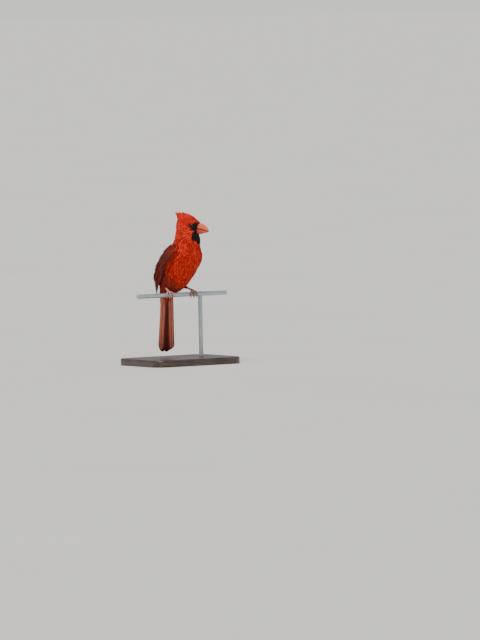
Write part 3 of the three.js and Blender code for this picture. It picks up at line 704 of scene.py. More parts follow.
# %% Clothing the body
EYE_CENTRE, EYE_RADIUS = np.array([8, 8.35, 1.2]), 3.1
EYE_HOLE, BILL_HOLE = EYE_RADIUS * 0.92, np.array([(12.2, 99), (-5.6, 5.6), (-10.5, 5.2)])
LORES_REACH = 10
HEAD_FROM, BELLY_TO = 74, 22
FEATHER_LENGTH, FEATHER_WIDTH = 3.8, 2.1


def off_the_face(points):
    near = head.local(points)
    eye = np.linalg.norm(near * [1, 0, 1] - [EYE_CENTRE[0], 0, EYE_CENTRE[2]], axis=1)
    on_eye = (eye < EYE_HOLE) & (np.abs(near[:, 1]) > 5)
    least, most = BILL_HOLE.T
    return ~(on_eye | np.all((near > least) & (near < most), axis=1))


def coat_part(name, chosen, leaf, size, lift, droop):
    """Feathers on the chosen roots, tipped up by lift degrees with a little spread in all they do."""
    n = int(chosen.sum())
    near, out, way, gap = surface[chosen], normal[chosen], lie[chosen], spacing[chosen]
    room = np.clip(np.linalg.norm(near - BILL_ROOT, axis=1) / LORES_REACH, 0.5, 1)
    length = gap * FEATHER_LENGTH * size * random.normal(1, 0.08, n) * room
    width = gap * FEATHER_WIDTH * size * random.normal(1, 0.07, n)
    tip = np.radians(lift + random.normal(0, 3.0, n))[:, None]
    sway = random.normal(0, 0.10, n)[:, None]
    way = unit(way + np.cross(out, way) * sway)
    along = way * np.cos(tip) + out * np.sin(tip)
    face = unit(out * np.cos(tip) - way * np.sin(tip))
    roots = near - out * (COAT_DEPTH * np.minimum(1, gap / 2))[:, None]
    uv = (angle[chosen] / (2 * math.pi) % 1, v[chosen])
    tone = np.clip(random.normal(0.6, 0.13, n), 0, 1)
    bow = length * length / 50 * droop + 0.35
    marks = markings(near + way * length[:, None] * 0.55)
    return feather_coat(name, leaf, roots, along, face, (width, length, bow), uv, tone, marks)


keep = ~under_a_wing(surface) & off_the_face(surface)
on_head = surface[:, 2] > HEAD_FROM
low = body.local(surface)[:, 2] < BELLY_TO
ahead_of_ears = head.local(surface)[:, 0] > 0
breast = np.cos(angle) > 0
regions = {
    "head_front": (on_head & ahead_of_ears, POINTED_LEAF, 1.0, 6.0, 0.4),
    "head_back": (on_head & ~ahead_of_ears, POINTED_LEAF, 1.05, 4.5, 0.5),
    "breast": (~on_head & ~low & breast, ROUND_LEAF, 1.2, 6.5, 0.5),
    "back": (~on_head & ~low & ~breast, ROUND_LEAF, 1.25, 6.0, 0.5),
    "belly": (low, LOOSE_LEAF, 1.5, 7.0, 0.55),
}
on_left = np.sin(angle) > 0
for region, (place, leaf, size, lift, droop) in regions.items():
    for side_name, half in (("left", on_left), ("right", ~on_left)):
        piece = coat_part(f"coat_{region}_{side_name}", keep & place & half, leaf, size, lift, droop)
        settle(piece, "plumage_red")

# %% [markdown]
# The crest is what names the bird. It is many narrow feathers that stand up from the forehead and crown
# and lean back to one point. Each root and tip is drawn between a front feather and a back one, the middle
# ones astride the crown and the outer ones rolled down each side, so that the crest is full from any side.

# %% Crest
CREST_FRONT = {"root": (16, 6.2), "tip": (7.6, 15.2)}
CREST_BACK = {"root": (-8, 3), "tip": (-16.4, 20.0)}
CREST_ROWS, CREST_ACROSS = 34, 15


def crest():
    t, x = pairs(np.linspace(0, 1, CREST_ROWS), np.linspace(-1, 1, CREST_ACROSS))
    n = len(t)
    t = np.clip(t + random.normal(0, 0.02, n), 0, 1)
    x = x + random.normal(0, 0.06, n)
    root_f, root_u = (lerp(a, b, t) for a, b in zip(CREST_FRONT["root"], CREST_BACK["root"]))
    tip_f, tip_u = (lerp(a, b, t) for a, b in zip(CREST_FRONT["tip"], CREST_BACK["tip"]))
    side = np.abs(x)
    short = 1 - np.abs(random.normal(0, 0.07, n)) - 0.10 * side
    tip_u = tip_u + 2.4 * np.sin(np.pi * t) - side * lerp(1.6, 5.6, t)
    tip_f = tip_f + side * lerp(0.2, 3.4, t)
    start = head.point(root_f - side, x * 5.0, root_u + 1.2 - side * 3.2)
    end = head.point(tip_f, x * lerp(5.2, 1.5, t), tip_u)
    along = end - start
    length = np.linalg.norm(along, axis=1) * short
    roll = np.radians(78) * x
    face = head.direction(np.full(n, 0.45), np.sin(roll), np.cos(roll))
    face = unit(face - unit(along) * np.sum(face * unit(along), axis=1, keepdims=True))
    tone = np.clip(random.normal(0.72, 0.18, n), 0, 1)
    return feather_coat("crest", POINTED_LEAF, start, along, face, (2.2 + 0.4 * t, length, length * 0.07),
                        (0.5 + x * 0.02, 0.9 + t * 0.08), tone, (0, 0))


settle(crest(), "plumage_red")

# %% [markdown]
# A cardinal's bill is two deep cones that meet along a line with a kink at its corner. Rings of points run
# from inside the face to the tip, each half a closed form of its own, so the mouth's line is a real gap.
# The nostril is pressed into the upper half and painted dark, painted shade in its hollow. Horn is smooth
# with faint growth lines, so it gets a thin clear coat over a coral that pales towards the face: on the upper
# half the horn's own salmon, on the lower half a painted highlight. A dark line along the mouth is painted
# shadow where the halves meet.

# %% Bill
BILL_TIP, MOUTH_START, MOUTH_LIFT = (29.6, -5.6), (9, -2.2), 2.2
MOUTH_GAP = 0.08
CULMEN_HEIGHT, GONYS_DEPTH, BILL_HALF_WIDTH = 8.2, 9.4, 6.0
CORNER_SHARE, CORNER_DROP = 0.34, 8
NOSTRIL, NOSTRIL_SIZE, NOSTRIL_DEPTH = np.array([17.0, 4.6, 1.9]), [1.25, 2.6, 0.75], 0.8


def bill_rings(upper, stations=44, sides=30):
    t = 1 - (1 - np.linspace(0, 1, stations)) ** 1.6
    culmen = np.maximum(CULMEN_HEIGHT * np.maximum(1 - t**4.5, 0) ** 0.62, 0.3)
    gonys = np.maximum(GONYS_DEPTH * (1 - t) ** 0.78, 0.25)
    half = np.maximum(BILL_HALF_WIDTH * np.maximum(1 - t**1.7, 0) ** 0.85, 0.28)
    forward = lerp(MOUTH_START[0], BILL_TIP[0], t) - (0 if upper else 0.5) * t
    corner = np.maximum(0, CORNER_SHARE - t) * CORNER_DROP
    lift = MOUTH_LIFT * (1 - t)
    mouth = lerp(MOUTH_START[1], BILL_TIP[1], t) - corner + 0.45 * np.sin(np.pi * t) + lift
    rise = culmen + corner - lift if upper else corner - gonys - lift
    edge = mouth + (MOUTH_GAP / 2 if upper else -MOUTH_GAP / 2)
    angle = np.linspace(0, np.pi, sides)
    keel = 1 - 0.10 * np.exp(-((angle - np.pi / 2) / 0.25) ** 2) * (-0.5 if upper else 0.4)
    height = edge[:, None] + rise[:, None] * np.sin(angle) ** 0.86 * keel
    if upper:
        height -= 0.35 * np.sin(np.pi * np.clip(t * 1.2, 0, 1))[:, None] * (np.abs(np.cos(angle)) > 0.93)
    points = stack(forward[:, None], np.cos(angle) * half[:, None], height).reshape(-1, 3)
    leaf = stack(np.cos(angle), t[:, None], 0.0).reshape(-1, 3)
    return points, leaf, stations, sides


def horn():
    s = Shader("bill_horn")
    along, pit = s.attribute("leaf", 1), s.attribute("tone")
    upper = s.attribute("marks", 0)
    mottle = s.noise(260, 4, 0.6)
    coral = s.mix(upper, (0.62, 0.036, 0.026), (0.78, 0.10, 0.035))
    colour = s.mix((along + mottle * 0.3).ramp(0.45, 1.1) * 0.8, coral, (0.86, 0.21, 0.075))
    # The coral pales towards the face: on the upper half the horn's own salmon base, on the lower half a
    # painted highlight.
    colour = s.mix((1 - along + mottle * 0.25).ramp(0.72, 0.98) * 0.4, colour, (0.74, 0.22, 0.15))
    # A painted shadow line along the mouth, where the two halves meet.
    edge = s.attribute("leaf", 0).absolute().ramp(0.975, 1.0)
    colour = s.mix(edge * 0.85, colour, (0.16, 0.012, 0.010))
    # The nostril's pit is painted dark: painted shade in the hollow.
    colour = s.mix(pit, colour, (0.05, 0.012, 0.01))
    lines = (along * 95 + mottle * 7).sine() * 0.5 + 0.5
    s.bump(lines * 0.35 + mottle * 0.5, 0.25, 0.00015)
    return s.finish(Base_Color=colour, Roughness=0.3 + mottle * 0.2, Coat_Weight=0.25, Coat_Roughness=0.25,
                    Subsurface_Weight=0.06, Subsurface_Scale=0.001, Specular_IOR_Level=0.35)


bill_material = horn()


def bill_half(upper):
    points, leaf, rows, sides = bill_rings(upper)
    pit = np.zeros(len(points))
    if upper:
        on_one_side = points * [1, 0, 1] + np.abs(points) * [0, 1, 0]
        reach = np.linalg.norm((on_one_side - NOSTRIL) / NOSTRIL_SIZE, axis=1)
        pit = smooth(1.0, 0.45, reach)
        points = points - np.sign(points[:, [1]]) * [0, 1, 0] * pit[:, None] * NOSTRIL_DEPTH
    world = head.point(*points.T)
    world = np.vstack([world, world[:sides].mean(axis=0), world[-sides:].mean(axis=0)])
    attributes = {"leaf": np.vstack([leaf, [[0, 0, 0], [0, 1, 0]]]), "tone": np.append(pit, [0, 0]),
                  "marks": np.tile([float(upper), 0, 0], (len(world), 1))}
    name = "bill_upper_horn" if upper else "bill_lower_horn"
    return make_piece(name, world, turned(globe_faces(rows, sides), upper), bill_material, attributes)


settle(bill_half(True), "bill", "bill_upper")
settle(bill_half(False), "bill", "bill_lower")

# %% [markdown]
# The eye is what a viewer meets first. The ball is wet and very dark, a brown iris round a black pupil,
# and its clear coat gives the catchlight. A ring of bare, beaded lid skin closes on it.

# %% Eyes
def eye_finish():
    s = Shader("eye_wet")
    ring = s.attribute("leaf", 1)
    streak = s.noise(900, 4)
    colour = s.mix((ring + streak * 0.05).ramp(0.42, 0.5), (0.002, 0.002, 0.002), (0.045, 0.016, 0.008))
    return s.finish(Base_Color=colour, Roughness=0.06, Coat_Weight=0.5, Coat_Roughness=0.02,
                    Specular_IOR_Level=0.05)


def lid_finish():
    s = Shader("eyelid")
    grain = s.noise(1500, 3)
    s.bump(grain, 0.5, 0.0001)
    colour = s.mix(grain, (0.008, 0.005, 0.005), (0.03, 0.014, 0.012))
    return s.finish(Base_Color=colour, Roughness=0.6, Specular_IOR_Level=0.2)


eye_material, lid_material = eye_finish(), lid_finish()
LID_SIZE = (2.3, 2.5)


def eye_axes(side):
    out = unit(head.direction(0.24, side * 1.0, 0.10))
    over = unit(head.up - out * (head.up @ out))
    return out, over, np.cross(out, over)


def ball(name, centre, radius, out, over, beside, rows=26, columns=40):
    polar = np.linspace(0, np.pi, rows)[1:-1]
    turn = np.arange(columns) / columns * 2 * np.pi
    p, q = pairs(polar, turn, "ij")
    way = swing(p, out, swing(q, over, beside))
    points = centre + np.vstack([way, out, -out]) * radius
    leaf = stack(0, np.append(np.sin(p) + (p > np.pi / 2) * 2, [0, 2]), 0)
    return make_piece(name, points, globe_faces(rows - 2, columns), eye_material, {"leaf": leaf})


def lid(name, centre, out, over, beside, segments=56, sides=12):
    u, w = pairs(np.arange(segments), np.arange(sides), "ij")
    u, w = u / segments * 2 * np.pi, w / sides * 2 * np.pi
    ring = swing(u, over * LID_SIZE[0], beside * LID_SIZE[1])
    bead = 0.36 + 0.05 * np.sin(u * 22) + 0.12 * np.abs(np.cos(u))
    point = ring * (1 + bead * np.cos(w) / 2.6)[:, None] + out * (bead * np.sin(w) * 0.8)[:, None]
    points = centre + out * (EYE_RADIUS * 0.60) + point
    last = (segments - 1) * sides
    seam = [[last + j, last + (j + 1) % sides, (j + 1) % sides, j] for j in range(sides)]
    return make_piece(name, points, grid_faces(segments, sides) + seam, lid_material)


for side, side_name in ((-1, "right"), (1, "left")):
    centre = head.point(EYE_CENTRE[0], side * EYE_CENTRE[1], EYE_CENTRE[2])
    axes = eye_axes(side)
    settle(ball(f"eyeball_{side_name}", centre, EYE_RADIUS * 0.98, *axes), "eye", f"eye_{side_name}")
    settle(lid(f"eyelid_{side_name}", centre, *axes), "eye")

# %% [markdown]
# Flight feathers are long plates with an off-centre shaft: a narrow stiff web on the leading side and a
# wide soft one behind it. One function draws any of them on a sheet: rings of points, a raised shaft,
# drooping webs, a rounded tip with small breaks where barbs part. The wing's and the tail's feathers
# differ only in the numbers it is given.

# %% One flight feather
ACROSS = np.array([-1, -0.72, -0.4, -0.12, 0, 0.12, 0.4, 0.72, 1])
FLIGHT_STATIONS = 26
SHAFT_RISE, EDGE_THICKNESS, MIDDLE_GAP = 0.17, 0.10, 0.12


def flight_feather(sheet, root, tip, lift, width, outer_share, tilt, blunt, seed, own_side=False):
    """Points and leaf coordinates of one feather. Its outer web is on the +across side."""
    noise = np.random.default_rng(seed)
    t = 1 - (1 - np.linspace(0, 1, FLIGHT_STATIONS)) ** 1.35
    a0, c0, a1, c1 = *root, *tip
    length, turn = math.hypot(a1 - a0, c1 - c0), math.atan2(c1 - c0, a1 - a0)
    grown = np.clip(0.55 + t * 1.5, 0, 1)
    closing = np.sqrt(np.clip(1 - np.clip((t - 1 + blunt) / blunt, 0, 1) ** 2, 0.0, 1))
    profile = np.maximum(grown * closing, 0.05)
    ragged = 1 + noise.normal(0, 0.018, (FLIGHT_STATIONS, 2)) * (t > 0.3)[:, None]
    inner, outer = (width * profile * [1 - outer_share, outer_share][i] * ragged[:, i] for i in (0, 1))
    reach = np.where(ACROSS < 0, inner[:, None], outer[:, None]) * ACROSS
    shift = width * (0.5 - outer_share)
    ahead, beside = t[:, None] * length, reach + shift * profile[:, None]
    a = a0 + ahead * math.cos(turn) - beside * math.sin(turn)
    c = c0 + ahead * math.sin(turn) + beside * math.cos(turn)
    if own_side:
        c = np.maximum(c, MIDDLE_GAP)
    droop = 0.035 * np.abs(ACROSS) ** 1.5 * width
    shaft = SHAFT_RISE * np.exp(-((ACROSS / 0.10) ** 2)) * (1 - 0.7 * t[:, None])
    height = lerp(lift[0], lift[1], t)[:, None] + beside * math.tan(math.radians(tilt))
    thick = EDGE_THICKNESS + 0.16 * (1 - np.abs(ACROSS))
    top = sheet(a, c, height - droop + shaft + thick / 2)
    under = sheet(a, c, height - droop - thick / 2)
    rings = np.concatenate([top, under[:, ::-1]], axis=1)
    leaf = stack(ACROSS, t[:, None], 0.0)
    return rings.reshape(-1, 3), np.concatenate([leaf, leaf[:, ::-1]], axis=1).reshape(-1, 3)


def flight_piece(name, feathers, material, flip):
    """One mesh of many feathers, each given as its points, leaf, tone and share of painted light, a paler
    pinkish red.
    """
    ring = 2 * len(ACROSS)
    count = FLIGHT_STATIONS * ring
    points, leaf, tone, painted_light = zip(*feathers)
    faces = sum((capped_faces(FLIGHT_STATIONS, ring, i * count) for i in range(len(feathers))), [])
    # The first share in marks is the feather's painted light.
    attributes = {"leaf": np.vstack(leaf), "tone": np.repeat(tone, count),
                  "marks": stack(np.repeat(painted_light, count), 0, 0)}
    return make_piece(name, np.vstack(points), turned(faces, flip), material, attributes)


# %% [markdown]
# A cardinal's flight feathers are dusky on the inner web and edged with red on the outer one, so the
# colour turns on the side of the shaft. The tail's outer webs are painted a paler, pinkish red below: painted
# light, standing for sunlight caught in them. Barbs slant away from the shaft, and the bump slants with them.

# %% Flight feather finish
def flight_finish(name, web, edge, painted_light):
    s = Shader(name)
    across, along = s.attribute("leaf", 0), s.attribute("leaf", 1)
    tone, painted_light_share = s.attribute("tone"), s.attribute("marks", 0)
    wear = s.noise(140, 3)
    colour = s.mix(tone * 0.6 + wear * 0.35, web, tuple(0.5 * x for x in web))
    outer = (across + wear * 0.3).ramp(0.1, 0.6)
    margin = (across * -1 + wear * 0.2).ramp(0.72, 1.0)
    colour = s.mix((outer + margin * 0.5) * (0.12 + tone * 0.85), colour, edge)
    # Painted light: over most of the width of the outer tail feathers, a paler pinkish red stands for sunlight
    # caught in the webs.
    painted_light_span = (across + wear * 0.2).ramp(-0.75, -0.2)
    colour = s.mix(painted_light_share * painted_light_span, colour, painted_light)
    streak = (along * 9 - across.absolute() * 2 + wear * 14).sine() * 0.5 + 0.5
    colour = s.mix(streak * 0.22, colour, web)
    tip = (along + wear * 0.1).ramp(0.90, 1.02)
    colour = s.mix(tip * 0.2, colour, tuple(0.45 * x for x in web))
    shaft = (1 - across.absolute()).ramp(0.86, 0.99)
    colour = s.mix(shaft * 0.75, colour, (0.03, 0.012, 0.01))
    barbs = (along * 420 - across.absolute() * 70).sine() * 0.5 + 0.5
    parting = (along * 37 - across.absolute() * 9 + wear * 9).sine() * 0.5 + 0.5
    s.bump(barbs * 0.35 + parting * 0.5, 0.4, 0.00012)
    return s.finish(Base_Color=colour, Roughness=0.55 + barbs * 0.12, Sheen_Weight=0.04,
                    Sheen_Tint=(1.0, 0.5, 0.4), Specular_IOR_Level=0.22)


# The last colour of each is painted light, a paler pinkish red; only the tail's outer feathers carry it.
wing_material = flight_finish("wing_feathers", (0.075, 0.021, 0.015), (0.30, 0.026, 0.011), (0.4, 0.1, 0.06))
tail_material = flight_finish("tail_feathers", (0.13, 0.014, 0.009), (0.26, 0.016, 0.009), (0.58, 0.17, 0.10))

# %% [markdown]
# A folded wing is read from its tiers: long primaries stepped along the lower edge, secondaries over
# them, three short tertials on top, and rows of coverts over their roots. Each row runs evenly from its
# first feather to its last, so that a row is two ends and a count. A low mound under them is the arm.

# %% Wings
TIERS = {
    "primaries": dict(count=7, width=5.6, outer=0.34, tilt=20, blunt=0.10, warm=0.55,
        roots=((35, 7.0), (29, -0.4)), tips=((83, 2.4), (66, -3)), lifts=((-2.4, -2.0), (-1.0, 0.0))),
    "secondaries": dict(count=6, width=6.4, outer=0.38, tilt=20, blunt=0.10, warm=0.9,
        roots=((25, 0), (22, -4.6)), tips=((64, -3), (61, -7)), lifts=((-0.9, 0.4), (-0.6, 1.8))),
    "tertials": dict(count=3, width=7.6, outer=0.46, tilt=16, blunt=0.20, warm=0.4,
        roots=((19, -5.4), (16, -8.2)), tips=((56, -6.2), (43, -8.8)), lifts=((0, 2.4), (0.2, 3.2))),
    "primary coverts": dict(count=5, width=4.4, outer=0.42, tilt=20, blunt=0.26, warm=0.3,
        roots=((23, 7), (21, 1.6)), tips=((45, 5.2), (38, 0.8)), lifts=((-0.2, -0.5), (0, 0.7))),
    "greater coverts": dict(count=9, width=5.2, outer=0.46, tilt=17, blunt=0.34, warm=0.3,
        roots=((13, 5.4), (12, -8.4)), tips=((34, 3.4), (30, -8.8)), lifts=((0.4, 1.5), (0.8, 3.3))),
    "median coverts": dict(count=9, width=4.8, outer=0.5, tilt=14, blunt=0.42, warm=0.2,
        roots=((6, 5.0), (6, -8.4)), tips=((20.5, 5.0), (18.5, -8.8)), lifts=((0.4, 2.4), (0.4, 3.4))),
}
ARM = {"at": [0, 4, 10, 18, 27, 35, 42], "dorsal": [3, 7.5, 10.5, 12, 11.5, 9, 4.5],
       "ventral": [2.5, 6, 7.5, 8, 8, 7.5, 5], "top": [-0.6, 0.6, 1.2, 1.4, 0.8, -0.5, -2]}
ARM_LENGTH, ARM_DEPTH, ARM_FALL = 42, 6.0, 1.5


def between(ends, t):
    return tuple(lerp(a, b, t) for a, b in zip(*ends))


def wing_feathers(sheet, seed):
    made = []
    noise = np.random.default_rng(seed)
    for row, tier in enumerate(TIERS.values()):
        for i in range(tier["count"]):
            t = i / (tier["count"] - 1)
            tip = between(tier["tips"], t)
            points, leaf = flight_feather(
                sheet, between(tier["roots"], t), (tip[0] + noise.normal(0, 0.4), tip[1]),
                between(tier["lifts"], t), tier["width"], tier["outer"], tier["tilt"], tier["blunt"],
                seed * 1000 + row * 50 + i,
            )
            made.append((points, leaf, np.clip(tier["warm"] + noise.normal(0, 0.08), 0, 1), 0))
    return made


def arm_surface(sheet, a, c, sink=0.0):
    dorsal, ventral, top = along_wing(ARM, a, "dorsal", "ventral", "top")
    fall = ARM_FALL * np.clip(np.abs(c) / np.where(c < 0, dorsal, ventral), 0, 1.25) ** 3
    return sheet(a, c, top - fall - sink)


def arm_mound(name, sheet, flip, stations=30, across=15):
    a, share = pairs(np.linspace(0, ARM_LENGTH, stations), np.cos(np.linspace(np.pi, 0, across)), "ij")
    dorsal, ventral = along_wing(ARM, a, "dorsal", "ventral")
    c = share * np.where(share < 0, dorsal, ventral)
    halves = (arm_surface(sheet, a, c), sheet(a, c, np.full(len(a), -ARM_DEPTH)))
    over, below = (half.reshape(stations, across, 3) for half in halves)
    points = np.concatenate([over, below[:, ::-1]], axis=1).reshape(-1, 3)
    plain = np.zeros(len(points))
    attributes = {"leaf": stack(plain - 0.5, 0.5, 0), "tone": plain + 0.5, "marks": stack(plain, 0.7, 0)}
    faces = turned(capped_faces(stations, 2 * across), flip)
    return make_piece(name, points, faces, plumage_material, attributes)


def on_the_arm(sheet, a, c, sink):
    """Roots on the mound of the arm, with the outward direction and the lie there."""
    near = np.maximum(a, 0)
    ahead = unit(arm_surface(sheet, near + 3, c, sink) - arm_surface(sheet, near, c, sink))
    beside = arm_surface(sheet, a, c + 0.5, sink) - arm_surface(sheet, a, c - 0.5, sink)
    up = unit(np.cross(ahead, beside))
    return arm_surface(sheet, a, c, sink), np.where((up @ sheet.out)[:, None] < 0, -up, up), ahead


def arm_coat(name, sheet, seed, rows, across, size, dull, lift):
    """Small feathers over a stretch of the arm: rows along it, across it from one edge to another."""
    noise = np.random.default_rng(seed)
    a, c = [], []
    for row, place in enumerate(np.arange(*rows)):
        low, high = across(place)
        line = np.arange(low, high, 1.45) + (row % 2) * 0.7
        a += [place] * len(line)
        c += line.tolist()
    n = len(a)
    a, c = np.array(a) + noise.normal(0, 0.2, n), np.array(c) + noise.normal(0, 0.2, n)
    roots, up, ahead = on_the_arm(sheet, a, c, 0.1)
    tip = np.radians(lift)
    way = ahead * math.cos(tip) + up * math.sin(tip) - sheet.across * size[2]
    face = unit(up * math.cos(tip) - ahead * math.sin(tip))
    length, width = size[0] * noise.normal(1, 0.07, n), size[1] * noise.normal(1, 0.07, n)
    tone = np.clip(noise.normal(0.5, 0.13, n), 0, 1)
    return feather_coat(name, ROUND_LEAF, roots, way, face, (width, length, 0.7),
                        ((a + 5) / 90 % 1, 0.5 + c / 90), tone, (0, dull))


def lesser_reach(place):
    narrow = np.interp(place, [-1.6, 2.5], [0.35, 1])
    dorsal, ventral = along_wing(ARM, place, "dorsal", "ventral")
    return -(dorsal + 0.4) * narrow, (ventral + 1.0) * narrow


def shoulder_reach(place):
    dorsal, = along_wing(ARM, place, "dorsal")
    return -dorsal * 1.12 - 0.5, -dorsal * 0.72


def flank_reach(place):
    ventral, = along_wing(ARM, place, "ventral")
    return ventral - 2.2, ventral + 2.6


ARM_COATS = [
    ("wing", "plumage_wing", 40, (-1.6, 15, 1.35), lesser_reach, (6.0, 3.4, 0), 1, 13),
    ("flank", "plumage_red", 50, (3, 42, 1.7), flank_reach, (8.0, 3.6, 0.12), 0.25, 6),
    ("shoulder", "plumage_wing", 90, (2, 36, 1.8), shoulder_reach, (8.5, 4.2, 0), 0.8, 5),
]
for wing_seed, (side_name, sheet) in enumerate(WINGS.items(), 1):
    flip = sheet.side > 0
    remiges = flight_piece(f"flight_feathers_{side_name}", wing_feathers(sheet, wing_seed), wing_material, flip)
    settle(remiges, "plumage_wing", f"wing_{side_name}")
    settle(arm_mound(f"wing_arm_{side_name}", sheet, flip), "plumage_wing")
    for place, slot, seed, *how in ARM_COATS:
        settle(arm_coat(f"coat_{place}_{side_name}", sheet, seed + wing_seed, *how), slot)

# %% [markdown]
# The tail hangs almost plumb behind the wire. Twelve feathers lie in a stack, the middle pair on top at
# the back and each outer pair a step lower, trimmed where they meet at the middle line. Coverts close
# over the roots on both sides.

# %% Tail
TAIL_ROOT, TAIL_PITCH, TAIL_LENGTH = (-26, 0, 23), 87, 99
TAIL_PAIRS, TAIL_SPREAD, TAIL_STEP, TAIL_WIDTH = 6, 0.52, 0.82, 10.8
# Share of painted light on each pair from the middle out: a paler pinkish red standing for sunlit webs.
TAIL_PAINTED_LIGHT = (0, 0, 0, 0.05, 0.3, 0.95)
tail_axes = Axes(TAIL_TURN, 0, body.point(*TAIL_ROOT))
tail_pitch = math.radians(TAIL_PITCH)
tail_down = tail_axes.direction(-math.cos(tail_pitch), 0, -math.sin(tail_pitch))
tail_back = tail_axes.direction(-math.sin(tail_pitch), 0, math.cos(tail_pitch))


def tail_sheet(a, c, h):
    a, c, h = (np.asarray(x, float)[..., None] for x in (a, c, h))
    return tail_axes.origin + a * tail_down + c * tail_axes.left + h * tail_back


def tail_feathers():
    made = []
    noise = np.random.default_rng(9)
    for side in (-1, 1):
        sheet = tail_sheet if side > 0 else (lambda a, c, h: tail_sheet(a, -np.asarray(c), h))
        for pair in range(TAIL_PAIRS):
            layer = (TAIL_PAIRS / 2 - pair) * TAIL_STEP + (TAIL_STEP if pair == 0 and side > 0 else 0)
            root_c = 0.8 + pair * 0.62
            length = TAIL_LENGTH - (3.5 if pair == 0 else 0) - pair / TAIL_PAIRS * 4.5 + noise.normal(0, 0.4)
            heading = math.radians(0.3 + pair * TAIL_SPREAD)
            tip = (math.cos(heading) * length, root_c + math.sin(heading) * length)
            points, leaf = flight_feather(
                sheet, (0, root_c), tip, (layer, layer), TAIL_WIDTH, 0.42, 0, 0.055,
                700 + pair + side * 10, own_side=pair > 0,
            )
            tone = np.clip(0.55 + noise.normal(0, 0.08), 0, 1)
            made.append((points, leaf, tone, TAIL_PAINTED_LIGHT[pair], side))
    return made


tail_made = tail_feathers()
for side, side_name in ((-1, "right"), (1, "left")):
    half = [feather[:4] for feather in tail_made if feather[4] == side]
    piece = flight_piece(f"tail_feathers_{side_name}", half, tail_material, flip=side > 0)
    settle(piece, "plumage_tail", "tail")


def tail_coverts(name, face, dull, reach, rows, seed):
    """Soft leaves over the tail's root: face is +1 on its back and -1 underneath."""
    noise = np.random.default_rng(seed)
    a, c = pairs(np.linspace(*reach, rows), np.linspace(-8, 8, 11))
    n = len(a)
    a, c = a + noise.normal(0, 1.0, n), c * (1 - 0.004 * a) + noise.normal(0, 0.5, n)
    h = face * (lerp(5.2, 3.0, (a - reach[0]) / (reach[1] - reach[0])) - 0.03 * c * c) + 0.4
    roots = tail_sheet(a, c, h - face * 0.8)
    up = unit(tail_back * face + tail_axes.left * (c * 0.05)[:, None])
    way = unit(tail_down + tail_back * face * 0.03 + tail_axes.left * (c * 0.006)[:, None])
    length, width = 15 * noise.normal(1, 0.08, n), 4.6 * noise.normal(1, 0.08, n)
    tone = np.clip(noise.normal(0.45, 0.15, n), 0, 1)
    return feather_coat(name, LOOSE_LEAF, roots, way, up, (width, length, 0.9),
                        (0.5 * (face > 0) + c / 60, 0.02 + a / 400), tone, (0, dull))


settle(tail_coverts("coat_tail_over", 1, 0.75, (2, 30), 9, 61), "plumage_tail")
settle(tail_coverts("coat_tail_under", -1, 0.6, (4, 24), 8, 62), "plumage_tail")

# %% [markdown]
# Feet are scaled like a lizard's. A tube along each bone's curve carries overlapping scutes as a stepped
# radius, and the toe swells at each joint. They close round the wire, three toes before and one behind.

# %% Legs and toes
FOOT_X = {"right": -20.5, "left": 16.3}
ANKLES = {"right": (-22, -11, 13), "left": (-15, 14.5, 12)}
# Each toe: where it starts and ends round the wire in degrees, its drift sideways and its radius.
TOES = [("hallux", 112, 188, 0, 1.3), ("inner", 96, -36, -4.4, 1.1), ("middle", 96, -46, 0.2, 1.2),
        ("outer", 96, -36, 4.6, 1.1)]
TOE_CLEAR, CLAW_LENGTH = 0.4, 4.4


def scaled_skin():
    s = Shader("leg_skin")
    grain = s.noise(700, 4)
    cell = s.node("ShaderNodeTexVoronoi", {}, {"Vector": s.place(), "Scale": 1500.0})
    along = s.attribute("leaf", 1)
    colour = s.mix(grain, (0.36, 0.16, 0.13), (0.58, 0.31, 0.26))
    colour = s.mix(along.ramp(0.55, 1.0) * 0.4, colour, (0.25, 0.10, 0.085))
    s.bump(cell * 0.6 + grain * 0.5, 0.35, 0.00015)
    return s.finish(Base_Color=colour, Roughness=0.42 + grain * 0.2, Subsurface_Weight=0.08,
                    Subsurface_Scale=0.001)


def claw_finish():
    s = Shader("claw_horn")
    grain = s.noise(900, 3)
    along = s.attribute("leaf", 1)
    colour = s.mix((along + grain * 0.2).ramp(0.2, 1.0), (0.22, 0.11, 0.09), (0.035, 0.018, 0.015))
    s.bump(grain, 0.2, 0.0001)
    return s.finish(Base_Color=colour, Roughness=0.28 + grain * 0.1)


leg_material, claw_material = scaled_skin(), claw_finish()


def tube(centres, radii, hint, sides=16):
    """A closed round tube through centres. Returns points, faces and leaf coordinates."""
    rows = len(centres)
    way = unit(np.gradient(centres, axis=0))
    first = unit(np.cross(way, np.broadcast_to(hint, way.shape)))[:, None]
    second = np.cross(way, first[:, 0])[:, None]
    angle = np.arange(sides) / sides * 2 * np.pi
    reach = np.broadcast_to(radii, rows)[:, None, None]
    points = (centres[:, None] + swing(angle, first, second) * reach).reshape(-1, 3)
    leaf = stack(np.cos(angle), np.linspace(0, 1, rows)[:, None], 0.0).reshape(-1, 3)
    return points, turned(capped_faces(rows, sides)), leaf


def round_wire(x, degrees, radius):
    a = np.radians(degrees)
    return stack(x, -np.cos(a) * radius, np.sin(a) * radius)


def joined(name, tubes, material):
    points, _, leaf = zip(*tubes)
    starts = np.cumsum([0, *(len(p) for p in points)])
    faces = [[i + int(start) for i in face] for start, (_, made, _) in zip(starts, tubes) for face in made]
    return make_piece(name, np.vstack(points), faces, material, {"leaf": np.vstack(leaf)})


def knuckle(side_name):
    return round_wire(FOOT_X[side_name], 98, WIRE_RADIUS + 1.25 + TOE_CLEAR + 0.9)


